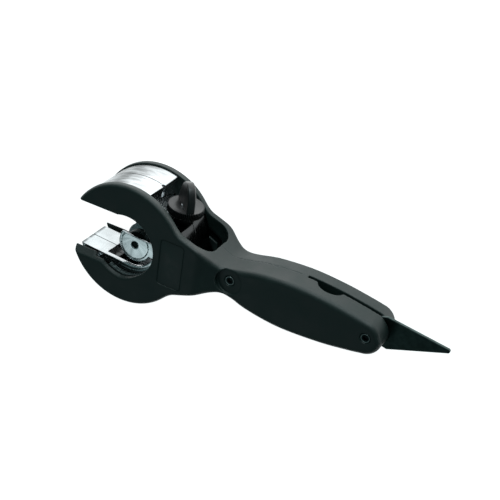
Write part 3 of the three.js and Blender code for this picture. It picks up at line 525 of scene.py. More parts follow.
def noise_and_shade(tree, place, size, detail, first, second):
    """Noise with grains of a size in millimetres, and a colour that runs between the two with it."""
    noise = node(tree, "ShaderNodeTexNoise", {
        "Vector": place, "Scale": 1 / (size * MM), "Detail": detail, "Roughness": 0.55})
    even = node(tree, "ShaderNodeMapRange", (noise, 0.35, 0.65, 0.0, 1.0))
    return noise, node(tree, "ShaderNodeMix", {0: even, 6: first, 7: second}, 2, data_type="RGBA")


def close(tree, settings):
    """Ends a material with the surface's shader and the output."""
    shader = node(tree, "ShaderNodeBsdfPrincipled", settings)
    node(tree, "ShaderNodeOutputMaterial", {"Surface": shader})


def moulded(name, key, ior, patch, detail, grain, shade, gloss, relief, rubbed=None):
    """A moulded plastic: the mould's texture as fine bumps, with patches a little darker or duller.

    Patch and grain are sizes in millimetres, shade and gloss the patches' ends, relief the bumps'
    depth in millimetres and their strength. Corners can be rubbed towards another colour.
    """
    material, tree, place = begin(name)
    cloud, base = noise_and_shade(tree, place, patch, detail, *[tint(key, share) for share in shade])
    fine = node(tree, "ShaderNodeTexNoise", {
        "Vector": place, "Scale": 1 / (grain * MM), "Detail": 2.0, "Roughness": 0.55})
    if rubbed:
        corner = node(tree, "ShaderNodeNewGeometry", {}, "Pointiness")
        worn = node(tree, "ShaderNodeMapRange", (corner, 0.515, 0.56, 0.0, 0.55))
        base = node(tree, "ShaderNodeMix", {0: worn, 6: base, 7: tint(rubbed)}, 2, data_type="RGBA")
    close(tree, {
        "Metallic": 0.0, "IOR": ior, "Base Color": base,
        "Roughness": node(tree, "ShaderNodeMapRange", (cloud, 0.35, 0.65, *gloss)),
        "Normal": node(tree, "ShaderNodeBump", {
            "Distance": relief[0] * MM, "Strength": relief[1], "Height": fine})})
    return material


def steel(name, key, low, high, size, stretch=(1, 1, 1)):
    """Turned, ground or plated steel: a metal whose gloss and shade run with fine tool marks.

    Low and high are the ends of its roughness, and size is the marks' width in millimetres, wider
    than real ones so that they show.
    """
    material, tree, place = begin(name)
    drawn = node(tree, "ShaderNodeMapping", {"Vector": place, "Scale": stretch})
    marks = node(tree, "ShaderNodeTexNoise", {
        "Vector": drawn, "Scale": 1 / (size * MM), "Detail": 3.0, "Roughness": 0.55})
    _, base = noise_and_shade(tree, place, 4.0, 2.0, tint(key, 0.75), tint(key, 1.1))
    close(tree, {
        "Metallic": 1.0, "Base Color": base,
        "Roughness": node(tree, "ShaderNodeMapRange", (marks, 0.35, 0.65, low, high)),
        "Normal": node(tree, "ShaderNodeBump", {"Distance": 0.015 * MM, "Strength": 0.3, "Height": marks})})
    return material


def plated_zinc():
    """Die-cast zinc under bright plating: near a mirror, with dark streaks round the band that are a
    painted reflection.

    Painted shade makes it near black where the rotor runs inside the handle: on its rims about the
    throat, in the lower pocket, and on the side that faces the grip. The whole band is a little darker,
    also painted shade. Dirt darkens the joint.
    """
    material, tree, place = begin("plated_zinc")
    shift = node(tree, "ShaderNodeVectorMath", (place, HEAD), operation="SUBTRACT")
    along, across, height = node(tree, "ShaderNodeSeparateXYZ", (shift,), slice(0, 3))
    flat = node(tree, "ShaderNodeVectorMath", (shift, (1, 1, 0)), operation="MULTIPLY")
    radius = node(tree, "ShaderNodeVectorMath", (flat,), "Value", operation="LENGTH")
    square = node(tree, "ShaderNodeMapping", {"Vector": shift, "Rotation": (0, 0, TURN)})
    up = node(tree, "ShaderNodeSeparateXYZ", (square,), 1)
    aside = node(tree, "ShaderNodeMath", (height,), operation="ABSOLUTE")
    away = node(tree, "ShaderNodeMath", (up,), operation="ABSOLUTE")

    left = node(tree, "ShaderNodeMath", (along, -1.0), operation="MULTIPLY")
    angle = node(tree, "ShaderNodeMath", (across, left), operation="ARCTAN2")
    round_band = node(tree, "ShaderNodeMath", (angle, 39 * MM), operation="MULTIPLY")
    wound = node(tree, "ShaderNodeCombineXYZ", (round_band, height))
    drawn = node(tree, "ShaderNodeMapping", {"Vector": wound, "Scale": (0.4, 1.3, 1.0)})
    # Noise drawn round the band: it sets the gloss, and it also shapes the painted reflection below.
    streak_noise = node(tree, "ShaderNodeTexNoise", {
        "Vector": drawn, "Scale": 1 / (5.5 * MM), "Detail": 3.0, "Roughness": 0.55})
    ripple, base = noise_and_shade(tree, place, 9.0, 2.0, tint("zinc", 0.82), tint("zinc"))

    def mask(*ramps):
        """Where all the ramps hold: each is a source, where it starts and stops in mm, and its two ends."""
        held = 1.0
        for source, start, stop, low, high in ramps:
            ramp = node(tree, "ShaderNodeMapRange", (source, start * MM, stop * MM, low, high))
            held = node(tree, "ShaderNodeMath", (held, ramp), operation="MULTIPLY")
        return held

    # Painted shade: the band's colour is darker all round, to dim the bright reflections it would show.
    band = mask((radius, 37, 38.5, 0, 1))
    # Painted reflection: dark streaks round the band, strongest towards the mouth, stand in for dark
    # surroundings mirrored in it.
    reflection_streaks = node(tree, "ShaderNodeMapRange", (streak_noise, 0.36, 0.58, 0.25, 1.0))
    painted_reflection = mask((along, 10, -14, 0.12, 1), (radius, 37, 38.5, 0, 1))
    painted_reflection = node(tree, "ShaderNodeMath", (reflection_streaks, painted_reflection), operation="MULTIPLY")
    grime = mask((aside, 0.2, 0.5, 0.75, 0))
    # Painted shade: inside the handle, in the lower pocket and on the rims behind the cheeks the colour
    # goes near black, where shade falls.
    inside = mask((along, 11, 13, 0, 1), (radius, 24, 28, 0, 1))
    pocket = mask((aside, 9.9, 10.05, 1, 0), (up, -18.4, -18.1, 1, 0), (radius, 35, 36, 1, 0))
    rims = mask((aside, 13.05, 13.2, 0, 1), (away, 21, 22, 1, 0))

    # Darker shares: painted shade on the band, painted reflection in the streaks, painted shade inside, in
    # the pocket and on the rims; the joint's line is dirt.
    for where, share in (
            (band, 0.6), (grime, 0.2), (painted_reflection, 0.14), (inside, 0.07), (pocket, 0.1), (rims, 0.02)):
        base = node(tree, "ShaderNodeMix", {0: where, 6: base, 7: tint("zinc", share)}, 2, data_type="RGBA")
    close(tree, {
        "Metallic": 1.0, "Base Color": base,
        "Roughness": node(tree, "ShaderNodeMapRange", (streak_noise, 0.35, 0.65, 0.14, 0.26)),
        "Normal": node(tree, "ShaderNodeBump", {"Distance": 0.1 * MM, "Strength": 0.25, "Height": ripple})})
    return material


def pale_table():
    """A light table of opal acrylic: matt white and lit from below. Its glow is a painted pool of light,
    strongest in an oval behind the grip, and dimmer near the tool as a painted shadow of it.
    """
    material, tree, place = begin("lit_opal_acrylic")
    _, base = noise_and_shade(tree, place, 300.0, 2.0, tint("floor", 0.97), tint("floor"))
    # Painted light: an oval of stronger glow behind the grip, with the weaker glow near the tool standing
    # in for its shadow.
    shift = node(tree, "ShaderNodeVectorMath", (place, (-0.03, 0.08, 0)), operation="SUBTRACT")
    oval = node(tree, "ShaderNodeMapping", {"Vector": shift, "Scale": (1 / 0.15, 1 / 0.05, 1.0)})
    middle = node(tree, "ShaderNodeTexGradient", (oval,), "Fac", gradient_type="SPHERICAL")
    close(tree, {
        "Roughness": 0.8, "Specular IOR Level": 0.2, "Base Color": base, "Emission Color": tint("floor"),
        "Emission Strength": node(tree, "ShaderNodeMapRange", (middle, 0.0, 0.25, 1.03, 2.5))})
    return material


# ---------------------------------------------------------------- handle

def ray(radius, degrees):
    """The point at a radius and an angle about the centre of the head."""
    return np.array([radius * math.cos(math.radians(degrees)), radius * math.sin(math.radians(degrees))])


NECK = np.array([65.5, 8.6, -10.6])  # the narrowest place: its X, top and bottom
GRIP = np.array([112.0, 15.2, -18.6])  # the widest place of the grip
TAIL = np.array([157.0, -1.5])
TAIL_RADIUS = 11.5
NECK_SCREW = np.array([69.5, -0.4, 0.0])
SCREW_HOLE = 2.3
SCREW_SEAT, SEAT_DEPTH = 3.3, 2.7
NUT_POCKET, POCKET_DEPTH = 7.6, 3.0
NOTCH_X = 128.4
REAMER_SLOT = 1.3  # half its width
PAWL_ROOM = 5.5  # radius of the room in which a pawl swings
SPRING_ROOM = 2.4
LINE_STEPS = {  # knots between the head, the neck, the grip and the tail, as shares of each way
    1: ([(0.5, 0.45), (0.82, 0.88)], [(0.2, 0.24), (0.52, 0.75)], [(0.45, 0.24), (0.8, 0.68)]),
    2: ([(0.5, 0.52), (0.8, 0.88)], [(0.14, 0.2), (0.34, 0.6), (0.68, 0.93)], [(0.45, 0.25), (0.8, 0.68)]),
}


def sides_of_grip(head_radius):
    """The top and the bottom line of the neck and grip, each a smooth curve of Y over X."""
    lines = []
    for row, flare, sign in ((1, 33, 1), (2, -36, -1)):
        start = ray(head_radius - 0.6, flare)
        stop = TAIL + ray(TAIL_RADIUS, 80 * sign)
        neck, grip = NECK[[0, row]], GRIP[[0, row]]
        knots = [start + np.array([-9, 5 * sign])]
        for here, there, steps in zip((start, neck, grip), (neck, grip, stop), LINE_STEPS[row]):
            knots.append(here)
            knots += [here + (there - here) * np.array(step) for step in steps]
        lines.append(curve(knots + [stop]))
    return lines


def grip_plan(x, y, lines):
    """Distance to the neck and grip in plan: the height over the nearer side line, divided by the
    length of the line's slope, and passed on to the tail's circle.
    """
    sides = []
    for line, sign in zip(lines, (1, -1)):
        level = np.interp(x, line[:, 0], line[:, 1])
        slope = np.interp(x, (line[1:, 0] + line[:-1, 0]) / 2, np.diff(line[:, 1]) / np.diff(line[:, 0]))
        sides.append(sign * (y - level) / np.hypot(1, slope))
    along = np.maximum(np.maximum(sides[0], sides[1]), lines[0][0, 0] - x)
    share = np.clip((x - TAIL[0]) / 3, 0, 1)
    return along + (disc(x, y, TAIL, TAIL_RADIUS) - along) * share * share * (3 - 2 * share)


def slot_floor():
    """The floor of the reamer's slot, as Y over X: along the folded blade's back, then round its heel."""
    return PIVOT[:2] + np.array([
        (-45.6, 12.6), (-11.0, -7.5), (-10.2, -8.6), (-2.7, -8.4), (-0.8, -8.8), (10.0, -11.2),
        (20.0, -13.2)])


def handle_field(size, side):
    """The field of a handle half: the round head joined to the grip, less the rotor's gap and pockets."""
    lines = sides_of_grip(size.head_radius)
    floor = slot_floor()
    fall = (size.head_half - size.grip_half) / (size.ramp_end - size.ramp_start)

    def field(x, y, z):
        up = np.abs(z)
        radius = np.hypot(x, y)
        roof = np.clip((x - size.ramp_start) / 20, 0, 1) * np.clip(y / 4 + 0.5, 0, 1)
        roof = roof * (np.hypot(np.minimum(up, size.grip_half), 2) - 2) / 12
        plan = join(radius - size.head_radius, grip_plan(x, y, lines), 3.0) + size.crown * roof
        ramp = (up - size.head_half + fall * (x - size.ramp_start)) / math.hypot(1, fall)
        height = common(up - size.head_half, join(ramp, up - size.grip_half, 5.0), 1.5)
        edge = np.interp(x, [size.ramp_start - 8, size.ramp_end + 6], [size.head_edge, size.grip_edge])
        solid = slab(plan, height, edge)
        corner = size.window_corner
        window = np.maximum(block(x, up, -60, size.window_end, -60, size.gap_half, corner), -x)
        gap = np.maximum(radius - size.head_radius - 2, up - size.gap_half)
        solid = cut(solid, np.minimum(gap, window), 0.9)
        lip = size.lip_fall / (size.head_half - size.gap_half - 0.7)
        low = np.clip((-y - 3) / 9, 0, 1) * np.clip((14 - x) / 16, 0, 1)
        slope = np.maximum(up - size.gap_half - 0.7, 0) * lip * low * low * (3 - 2 * low)
        jaws = mouth(x, y, size.mouth_radius, size.upper_jaw, size.lower_jaw)
        solid = cut(solid, (jaws - slope) / np.hypot(1, lip * low * (slope > 0)), 0.9)
        solid = cut(solid, np.maximum(radius - size.race_radius, up - size.race_floor), 0.5)
        bend = PAWL + (7.2, 12, 0)
        room = stadium(x, y, PAWL, PAWL + (-10.5, 15.5, 0), PAWL_ROOM)
        room = np.minimum(room, stadium(x, y, PAWL + (8.4, 4, 0), bend, 1.5))
        room = np.minimum(room, stadium(x, y, bend, PAWL + (-6.7, 18.4, 0), SPRING_ROOM))
        solid = cut(solid, np.maximum(room, up - size.race_floor), 0.4)
        solid = cut(solid, np.maximum(disc(x, y, PAWL, 1.8), up - size.head_half + 0.9), 0.3)
        groove = np.maximum(floor[0, 0] - x, np.interp(x, floor[:, 0], floor[:, 1]) - y)
        solid = cut(solid, np.maximum(groove, up - REAMER_SLOT), 0.3)
        for centre, face in ((NECK_SCREW, size.spot_floor), (PIVOT, size.grip_half)):
            solid = cut(solid, disc(x, y, centre, SCREW_HOLE), 0.3)
            if side > 0:
                seat = np.maximum(disc(x, y, centre, SCREW_SEAT), face - SEAT_DEPTH - z)
            else:
                seat = np.maximum(hexagon(x, y, centre, NUT_POCKET), z + face - POCKET_DEPTH)
            solid = cut(solid, seat, 0.4)
        solid = cut(solid, np.maximum(disc(x, y, PIVOT, 3.5), up - 4.3), 0.3)
        if side > 0:
            floor_of_spot = size.spot_floor + 0.11 * np.maximum(x - NECK_SCREW[0], 0)
            solid = cut(solid, np.maximum(disc(x, y, NECK_SCREW, size.spot_radius), floor_of_spot - z), 0.7)
            label = block(x, y, *label_box(size), 2.2)
            solid = cut(solid, np.maximum(label, size.label_floor - z), 0.4)
            oval = (np.hypot((x - NOTCH_X) / size.notch_radius, z / size.notch_deep) - 1) * size.notch_deep
            solid = cut(solid, np.maximum(oval, GRIP[1] - 5 - y), 0.5)
        return np.maximum(solid, 0.02 - side * z)

    return field


def label_box(size):
    """Left, right, low and high side of the blank label's recess."""
    return (33.2 - size.label_width / 2, 33.2 + size.label_width / 2,
            -0.6 - size.label_height / 2, -0.6 + size.label_height / 2)


class CUTTER_OT_handle(bpy.types.Operator):
    """Build the two moulded halves of the handle and the blank label plate"""

    bl_idname = "cutter.handle"
    bl_label = "Handle"

    def execute(self, context):
        size = sizes("cutter_handle")
        # Black glass-filled nylon from a spark-eroded mould: dull and even, with its edges rubbed lighter.
        nylon = moulded("glass_filled_nylon", "nylon", ior=1.53, patch=14.0, detail=3.0, grain=0.45,
                        shade=(0.85, 1.2), gloss=(0.46, 0.56), relief=(0.03, 0.35), rubbed="nylon_worn")
        step = 0.55
        across, along = levels(-41.5, 170.5, step), levels(-41.5, 41.5, step)
        for name, side in (("front", 1), ("back", -1)):
            through = np.sort(side * levels(-0.4, 22.6, step, 0.02))
            shape = skin(handle_field(size, side), (across, along, through))
            shell = put(
                f"{name}_handle_shell", shape, nylon, "handle", [f"{name}_handle_half"])
            keep_sharp_at_joint(shell.data)
        left, right, under, over = np.add(label_box(size), (2.05, -2.05, 2.05, -2.05))
        corners = [(right, over, 0), (left, over, 90), (left, under, 180), (right, under, 270)]
        outline = np.concatenate([arc((x, y), 1.9, a, a + 90, 6) for x, y, a in corners])
        face = size.label_floor + 0.6
        shape = stack(outline, [(size.label_floor, 0), (face - 0.15, 0), (face - 0.04, 0.06), (face, 0.2)])
        # The same nylon from a smoother part of the mould, so the plate has a little more sheen.
        smooth = moulded("smooth_nylon", "nylon", ior=1.53, patch=5.0, detail=3.0, grain=0.6,
                         shade=(0.8, 1.35), gloss=(0.36, 0.46), relief=(0.02, 0.3))
        put("blank_label", shape, smooth, "handle", ["blank_label_plate"])
        return {"FINISHED"}


HEAD_TURNS = 72


def socket_screw(radius, deep):
    """A screw head with a six-lobed socket, from its under side round the rim to the socket's floor.

    In the socket the radius is r (1 + 0.13 cos 6a), so its wall has six lobes.
    """
    socket, floor = radius * 0.46, -deep * 0.55
    profile = [(radius, -deep), (radius, -0.5), (radius - 0.1, -0.2), (radius - 0.3, 0.0),
               (radius - 0.55, 0.0), (radius - 0.75, -0.15), (socket + 0.12, -0.15), (socket, -0.27),
               (socket * 0.98, floor)]

    def lobes(angle, place, r):
        return np.where(place > 6, r * (1 + 0.13 * np.cos(6 * angle)), r)

    return lathe(profile, HEAD_TURNS, lobes)


class CUTTER_OT_screws(bpy.types.Operator):
    """Build the screws and nuts that clamp the handle, and finish its hidden hardware"""

    bl_idname = "cutter.screws"
    bl_label = "Handle screws"

    def execute(self, context):
        size = sizes("cutter_handle")
        # Blacked by hot oxide over turning marks: near black with a soft sheen.
        oxide = steel("black_oxide_steel", "oxide", 0.3, 0.45, 0.5)
        # Grey black-zinc plate for the nuts, also laid on the rim round each socket as a painted highlight:
        # a bright ring.
        nut_zinc_and_rim_highlight = steel("black_zinc_steel", "screws", 0.26, 0.4, 0.5)
        for name, centre, face in (("neck", NECK_SCREW, size.spot_floor), ("tail", PIVOT, size.grip_half)):
            head = socket_screw(3.05, 2.4)
            foot, neck = -face + 0.3, face - 2.0
            shank = lathe([(1.8, foot), (2.0, foot + 0.2), (2.0, neck)], 32)
            shape = gather((head[0] + (0, 0, face - 0.3), head[1]), shank)
            screw = put(f"{name}_screw_piece", shape, oxide, "handle",
                        [f"{name}_screw"], shift=centre)
            screw.data.materials.append(nut_zinc_and_rim_highlight)
            index = np.zeros(len(screw.data.polygons), np.int32)
            rows = 8  # faces from under the head to the socket's floor
            # Painted highlight: the rim's faces take the lighter metal, so a lit ring shows round each
            # socket.
            rim = np.isin(np.arange(HEAD_TURNS * rows) % rows, (1, 2, 3, 4))
            index[:len(rim)] = rim
            screw.data.polygons.foreach_set("material_index", index)
            flats = arc((0, 0), 7 / math.sqrt(3), 30, 330, 5)
            nut = stack(flats, [(-face + 0.3, 0.35), (-face + 0.6, 0), (2.4 - face, 0), (2.7 - face, 0.3)])
            put(f"{name}_nut_piece", nut, nut_zinc_and_rim_highlight, "handle", [f"{name}_nut"],
                shift=centre)
        # Brass as it comes off the lathe: warm, with fine rings.
        brass = steel("turned_brass", "brass", 0.25, 0.4, 0.6)
        finish_nodes(brass, "reamer_bushing")
        # Turned steel under clear zinc plate: bright and slightly blue.
        plated = steel("plated_steel", "plated", 0.2, 0.36, 0.5)
        finish_nodes(plated, "front_pawl_pin", "back_pawl_pin")
        # Oil-tempered spring wire: dark, with long marks from drawing.
        spring = steel("spring_steel", "oxide", 0.25, 0.4, 0.4)
        finish_nodes(spring, "front_pawl_spring", "back_pawl_spring")
        return {"FINISHED"}


# ---------------------------------------------------------------- rotor

ROTOR_SCREWS = [(-15.0, 26.0), (-21.2, -23.0), (35.2, 4.0)]
ROTOR_SCREW_HOLE, ROTOR_SCREW_SEAT = 1.8, 3.0
CHAMBER_RIGHT, CHAMBER_LOW = 31.5, -30.1  # the corner in which the carriage's arm ends its travel
FEED_HOLE = 3.3


def rotor_field(size, side):
    """The field of a rotor half: a round block less the throat, knob's pocket and carriage's room."""
    wheel = sizes("cutter_wheel")

    def field(x, y, z):
        up = np.abs(z)
        solid = slab(np.hypot(x, y) - size.radius, up - size.half, 0.6)
        edge = size.edge
        solid = cut(solid, mouth(x, y, size.throat), edge)
        solid = cut(solid, np.maximum(mouth(x, y, size.rim_throat), size.core_half - up), edge)
        pocket = np.maximum(size.knob_left - x, size.knob_floor - y)
        pocket = np.minimum(pocket, np.maximum(np.maximum(size.knob_left - 1.4 - x, 30 - y), up - 1.3))
        solid = cut(solid, pocket, edge * 2)
        low = AXLE[1] - 20.6
        room = stadium(x, y, AXLE, (AXLE[0], low), wheel.plate_radius + 0.5)
        slope = (x - 22.5) * 0.774 - (y - CHAMBER_LOW) * 0.633
        arm = block(x, y, AXLE[0], CHAMBER_RIGHT, CHAMBER_LOW, 5.7)
        room = np.minimum(room, np.maximum(arm, slope))
        room = np.minimum(room, block(x, y, FEED[0] - 5.7, FEED[0] + 5.7, -19.1, 18.3))
        floor = -size.throat - size.pocket_deep
        room = np.minimum(room, block(x, y, -size.pocket_start, AXLE[0], floor, 0))
        solid = cut(solid, np.maximum(room, up - size.chamber_half), edge)
        screw = np.maximum(np.hypot(x - FEED[0], z) - FEED_HOLE, -y)
        solid = cut(solid, screw, edge)
        for centre in ROLLERS.values():
            pocket = np.maximum(disc(x, y, centre, wheel.roller_radius + 0.4), up - wheel.roller_half - 0.3)
            solid = cut(solid, np.minimum(pocket, disc(x, y, centre, ROTOR_SCREW_HOLE)), edge)
        for centre in ROTOR_SCREWS:
            seat = np.maximum(disc(x, y, centre, ROTOR_SCREW_SEAT), size.core_half - z)
            solid = cut(solid, np.minimum(disc(x, y, centre, ROTOR_SCREW_HOLE), seat), edge)
        return common(solid, 0.05 - side * z, 0.3)

    return field


class CUTTER_OT_rotor(bpy.types.Operator):
    """Build the two cast halves of the rotor and finish its screws, ratchet rings and pawls"""

    bl_idname = "cutter.rotor"
    bl_label = "Rotor"

    def execute(self, context):
        size = sizes("cutter_rotor")
        zinc = plated_zinc()
        step, reach = 0.5, size.radius + 1.2
        for name, side in (("front", 1), ("back", -1)):
            plane = levels(-reach, reach, step)
            through = np.sort(side * levels(-0.5, size.half + 1, step, 0.05))
            shape = skin(rotor_field(size, side), (plane, plane, through))
            put(f"{name}_rotor_casting", shape, zinc, "rotor", [f"rotor_{name}_half"],
                on_rotor=True, sharp=40)
        plated = bpy.data.materials["plated_steel"]
        finish_nodes(plated, *[f"rotor_screw_{i}" for i in (1, 2, 3)])
        finish_nodes(plated, *[f"{side}_ring_rivet_{i}" for side in ("front", "back") for i in (1, 2)])
        # Stamped steel under a phosphate coat: flat mid-grey.
        phosphated = steel("phosphated_steel", "ring", 0.3, 0.45, 0.4)
        finish_nodes(phosphated, "front_ratchet_ring", "back_ratchet_ring")
        finish_nodes(bpy.data.materials["black_oxide_steel"], "front_pawl", "back_pawl")
        return {"FINISHED"}


class CUTTER_OT_rollers(bpy.types.Operator):
    """Build the two grooved guide rollers and their pins"""

    bl_idname = "cutter.rollers"
    bl_label = "Guide rollers"

    def execute(self, context):
        size = sizes("cutter_wheel")
        plated = bpy.data.materials["plated_steel"]
        r, h = size.roller_radius, size.roller_half
        half = [(r - 0.8, 0.0), (r - 0.8, 0.9), (r - 0.65, 1.2), (r - 0.12, 1.85), (r, 2.1), (r, h - 0.4),
                (r - 0.12, h - 0.12), (r - 0.4, h), (1.8, h)]
        profile = [(a, -b) for a, b in half[::-1]] + half[1:]
        for name, centre in ROLLERS.items():
            roller = lathe(profile + profile[:1], 56)
            put(f"{name}_roller_turned", roller, plated, f"{name}_roller",
                [f"{name}_guide_roller"], on_rotor=True, shift=centre)
            pin = [(1.3, -12.7), (1.5, -12.5), (1.5, 12.5), (1.3, 12.7)]
            put(f"{name}_pin_turned", lathe(pin, 32), plated, "rotor", [f"{name}_roller_pin"],
                on_rotor=True, shift=centre)
        return {"FINISHED"}


# ---------------------------------------------------------------- feed

def fluted_disc(size, base):
    """The knob's disc about Z, from base up, with a hub below.

    Its rim has 62 flutes: r less d (1 - |sin 31a|). The faces have none.
    """
    r, top = size.knob_radius, base + size.knob_disc
    hub, foot = 6.3, base - 4.6
    profile = [
        (3.3, foot), (hub - 0.3, foot), (hub, foot + 0.3), (hub, base - 0.4), (hub + 0.5, base),
        (r - 0.9, base), (r - 0.15, base + 0.4), (r, base + 0.8), (r, top - 0.5), (r - 0.03, top - 0.1),
        (r - 0.15, top), (r - 1.3, top), (r - 1.7, top - 0.12), (r - 2.5, top - 0.12), (3.6, top - 0.12),
        (3.3, top - 0.3), (3.3, foot)]

    def flutes(angle, place, radius):
        rim = (place > 5) & (place < 11)
        return radius - rim * size.knurl_deep * (1 - np.abs(np.sin(31 * angle)))

    return lathe(profile, 434, flutes)


def finger_wing(size):
    """The wing across the knob: a half oval carried through its thickness, with rounded edges."""
    arch = arc((0, 0), 1.0, 0, 180, 48) * (size.wing_half, size.wing_height)
    outline = np.concatenate([arch, [(-size.wing_half, -1.0), (size.wing_half, -1.0)]])
    half, edge = size.wing_thick / 2, 0.9
    angles = np.radians(np.linspace(0, 90, 6))
    ease = [(half - edge + edge * math.sin(a), edge * (1 - math.cos(a))) for a in angles]
    return stack(outline, [(-z, d) for z, d in ease[::-1]] + ease)


def threaded_bar(size, low, high):
    """A bar with a right-hand thread about Z: r - d |2 frac(h / pitch - a / 2 pi) - 1| on a fine grid."""
    heights = np.arange(low, high, size.pitch / 8)
    profile = np.column_stack([np.full(len(heights), size.screw_radius - 0.02), heights])

    def thread(angle, place, radius):
        turn = (heights[place] / size.pitch - angle / (2 * math.pi)) % 1
        depth = size.thread_deep * np.abs(2 * turn - 1)
        taper = np.clip((high - heights[place]) / 1.0, 0, 1) * np.clip((heights[place] - low) / 1.0, 0, 1)
        return radius - depth * taper - (1 - taper) * 0.4

    return lathe(profile, 48, thread)


class CUTTER_OT_feed(bpy.types.Operator):
    """Build the fluted feed knob with its finger wing, the threaded feed screw and its washers"""

    bl_idname = "cutter.feed"
    bl_label = "Feed knob and screw"

    def execute(self, context):
        size = sizes("cutter_feed")
        # Black acetal, polished by the fingers: finer in its texture than the handle and glossier.
        acetal = moulded("black_acetal", "acetal", ior=1.48, patch=6.0, detail=2.0, grain=0.3,
                         shade=(0.85, 1.25), gloss=(0.3, 0.4), relief=(0.02, 0.3))
        plated = bpy.data.materials["plated_steel"]
        x = FEED[0]
        points, faces = fluted_disc(size, size.knob_face - size.knob_disc)
        round_part = turned_to_y(points, x), faces
        points, faces = finger_wing(size)
        angle = math.radians(45)
        across, up, through = points.T
        wing = np.column_stack([
            x + across * math.cos(angle) - through * math.sin(angle),
            up + size.knob_face - 0.3,
            across * math.sin(angle) + through * math.cos(angle)])
        put("feed_knob_moulding", gather(round_part, (wing, faces)), acetal, "knob",
            ["feed_knob"], on_rotor=True)
        points, faces = threaded_bar(size, -19.0, 21.0)
        top = size.knob_face + 0.28
        plain = lathe([(2.9, 20.9), (2.98, 21.0), (2.98, top - 0.38), (2.6, top)], 40)
        points, faces = gather((points, faces), plain)
        put("feed_screw_turned", (turned_to_y(points, x), faces), plated, "knob", ["feed_screw"],
            on_rotor=True)
        finish_nodes(bpy.data.materials["black_oxide_steel"], "thrust_washer")
        finish_nodes(bpy.data.materials["spring_steel"], "screw_retaining_clip")
        return {"FINISHED"}


# ---------------------------------------------------------------- carriage and wheel

def carriage_field(size):
    """The field of the carriage: two side plates, cut flat on top, and an arm with the nut's block."""

    def field(x, y, z):
        up = np.abs(z)
        reach = np.hypot(x - AXLE[0], y - AXLE[1])
        plates = slab(np.maximum(reach - size.plate_radius, y - size.plate_top), up - size.plate_side, 0.4)
        raised = slab(np.maximum(reach - size.plate_step, y - size.plate_top), up - size.plate_face, 0.3)
        solid = np.minimum(plates, raised)
        slope = (x - 22) * 0.774 - (y + 9) * 0.633
        arm = np.maximum(block(x, y, AXLE[0], 31.0, -9.0, size.plate_top), slope)
        tower = block(x, y, 20.6, 31.0, 1.0, 13.0, 0.6)
        tower = np.minimum(tower, np.maximum(block(x, y, 20.6, 31.0, -9.0, 4.0), slope))
        solid = np.minimum(solid, slab(np.minimum(arm, tower), up - size.plate_side, 0.4))
        inner = size.plate_face - 1.6
        room = np.maximum(reach - size.wheel_radius - 0.7, up - inner)
        room = np.minimum(room, np.maximum(x - AXLE[0], up - inner))
        solid = cut(solid, room, 0.3)
        solid = cut(solid, reach - 2.3, 0.5)
        return cut(solid, np.hypot(x - FEED[0], z) - 4.7, 0.3)

    return field


class CUTTER_OT_carriage(bpy.types.Operator):
    """Build the cast carriage with its nut, and the wheel's axle"""

    bl_idname = "cutter.carriage"
    bl_label = "Carriage"

    def execute(self, context):
        size = sizes("cutter_wheel")
        zinc = bpy.data.materials["plated_zinc"]
        planes = [levels(*ends, 0.4) for ends in ((-12.5, 32.5), (-18, 14.5), (-10.6, 10.6))]
        put("carriage_casting", skin(carriage_field(size), planes), zinc, "carriage",
            ["wheel_carriage"], on_rotor=True, sharp=40)
        h = size.plate_face - 0.6
        pin = [(1.7, -h), (2.0, 0.3 - h), (2.0, h - 0.3), (1.7, h)]
        put("wheel_axle_turned", lathe(pin, 40), bpy.data.materials["black_oxide_steel"], "carriage",
            ["wheel_axle"], on_rotor=True, shift=AXLE)
        finish_nodes(bpy.data.materials["turned_brass"], "feed_nut")
        return {"FINISHED"}


class CUTTER_OT_wheel(bpy.types.Operator):
    """Build the cutting wheel with its ground edge and the sleeves on both its sides"""

    bl_idname = "cutter.wheel"
    bl_label = "Cutting wheel"

    def execute(self, context):
        size = sizes("cutter_wheel")
        r, h = size.wheel_radius, size.wheel_half
        half = [(r, 0.0), (r - 0.12, 0.1), (r - 1.6, 0.72), (r - 2.9, h - 0.1), (r - 3.1, h),
                (2.4, h), (2.3, h - 0.1)]
        profile = [(a, -b) for a, b in half[::-1]] + half[1:]
        # Hardened tool steel, ground round its axle: bright, with rings that draw out the gloss.
        ground = steel("ground_tool_steel", "ground", 0.2, 0.36, 0.35, (4, 4, 0.5))
        put("cutting_wheel_ground", lathe(profile + profile[:1], 96), ground, "wheel",
            ["cutting_wheel"], on_rotor=True, shift=AXLE)
        oxide = bpy.data.materials["black_oxide_steel"]
        low, high, r = h + 0.3, size.plate_face - 1.9, size.sleeve_radius
        ring = [
            (2.3, low), (r - 0.4, low), (r, low + 0.4), (r, high - 0.9), (r - 0.3, high - 0.4),
            (r - 0.9, high), (4.2, high), (3.9, high - 0.3), (2.3, high - 0.3), (2.3, low)]
        for name, side in (("front", 1), ("back", -1)):
            points, faces = lathe(ring, 64)
            if side < 0:
                points, faces = points * (1, 1, -1), [part[:, ::-1] for part in faces]
            put(f"{name}_sleeve_turned", (points, faces), oxide, "wheel",
                [f"{name}_wheel_sleeve"], on_rotor=True, shift=AXLE)
        return {"FINISHED"}


# ---------------------------------------------------------------- reamer

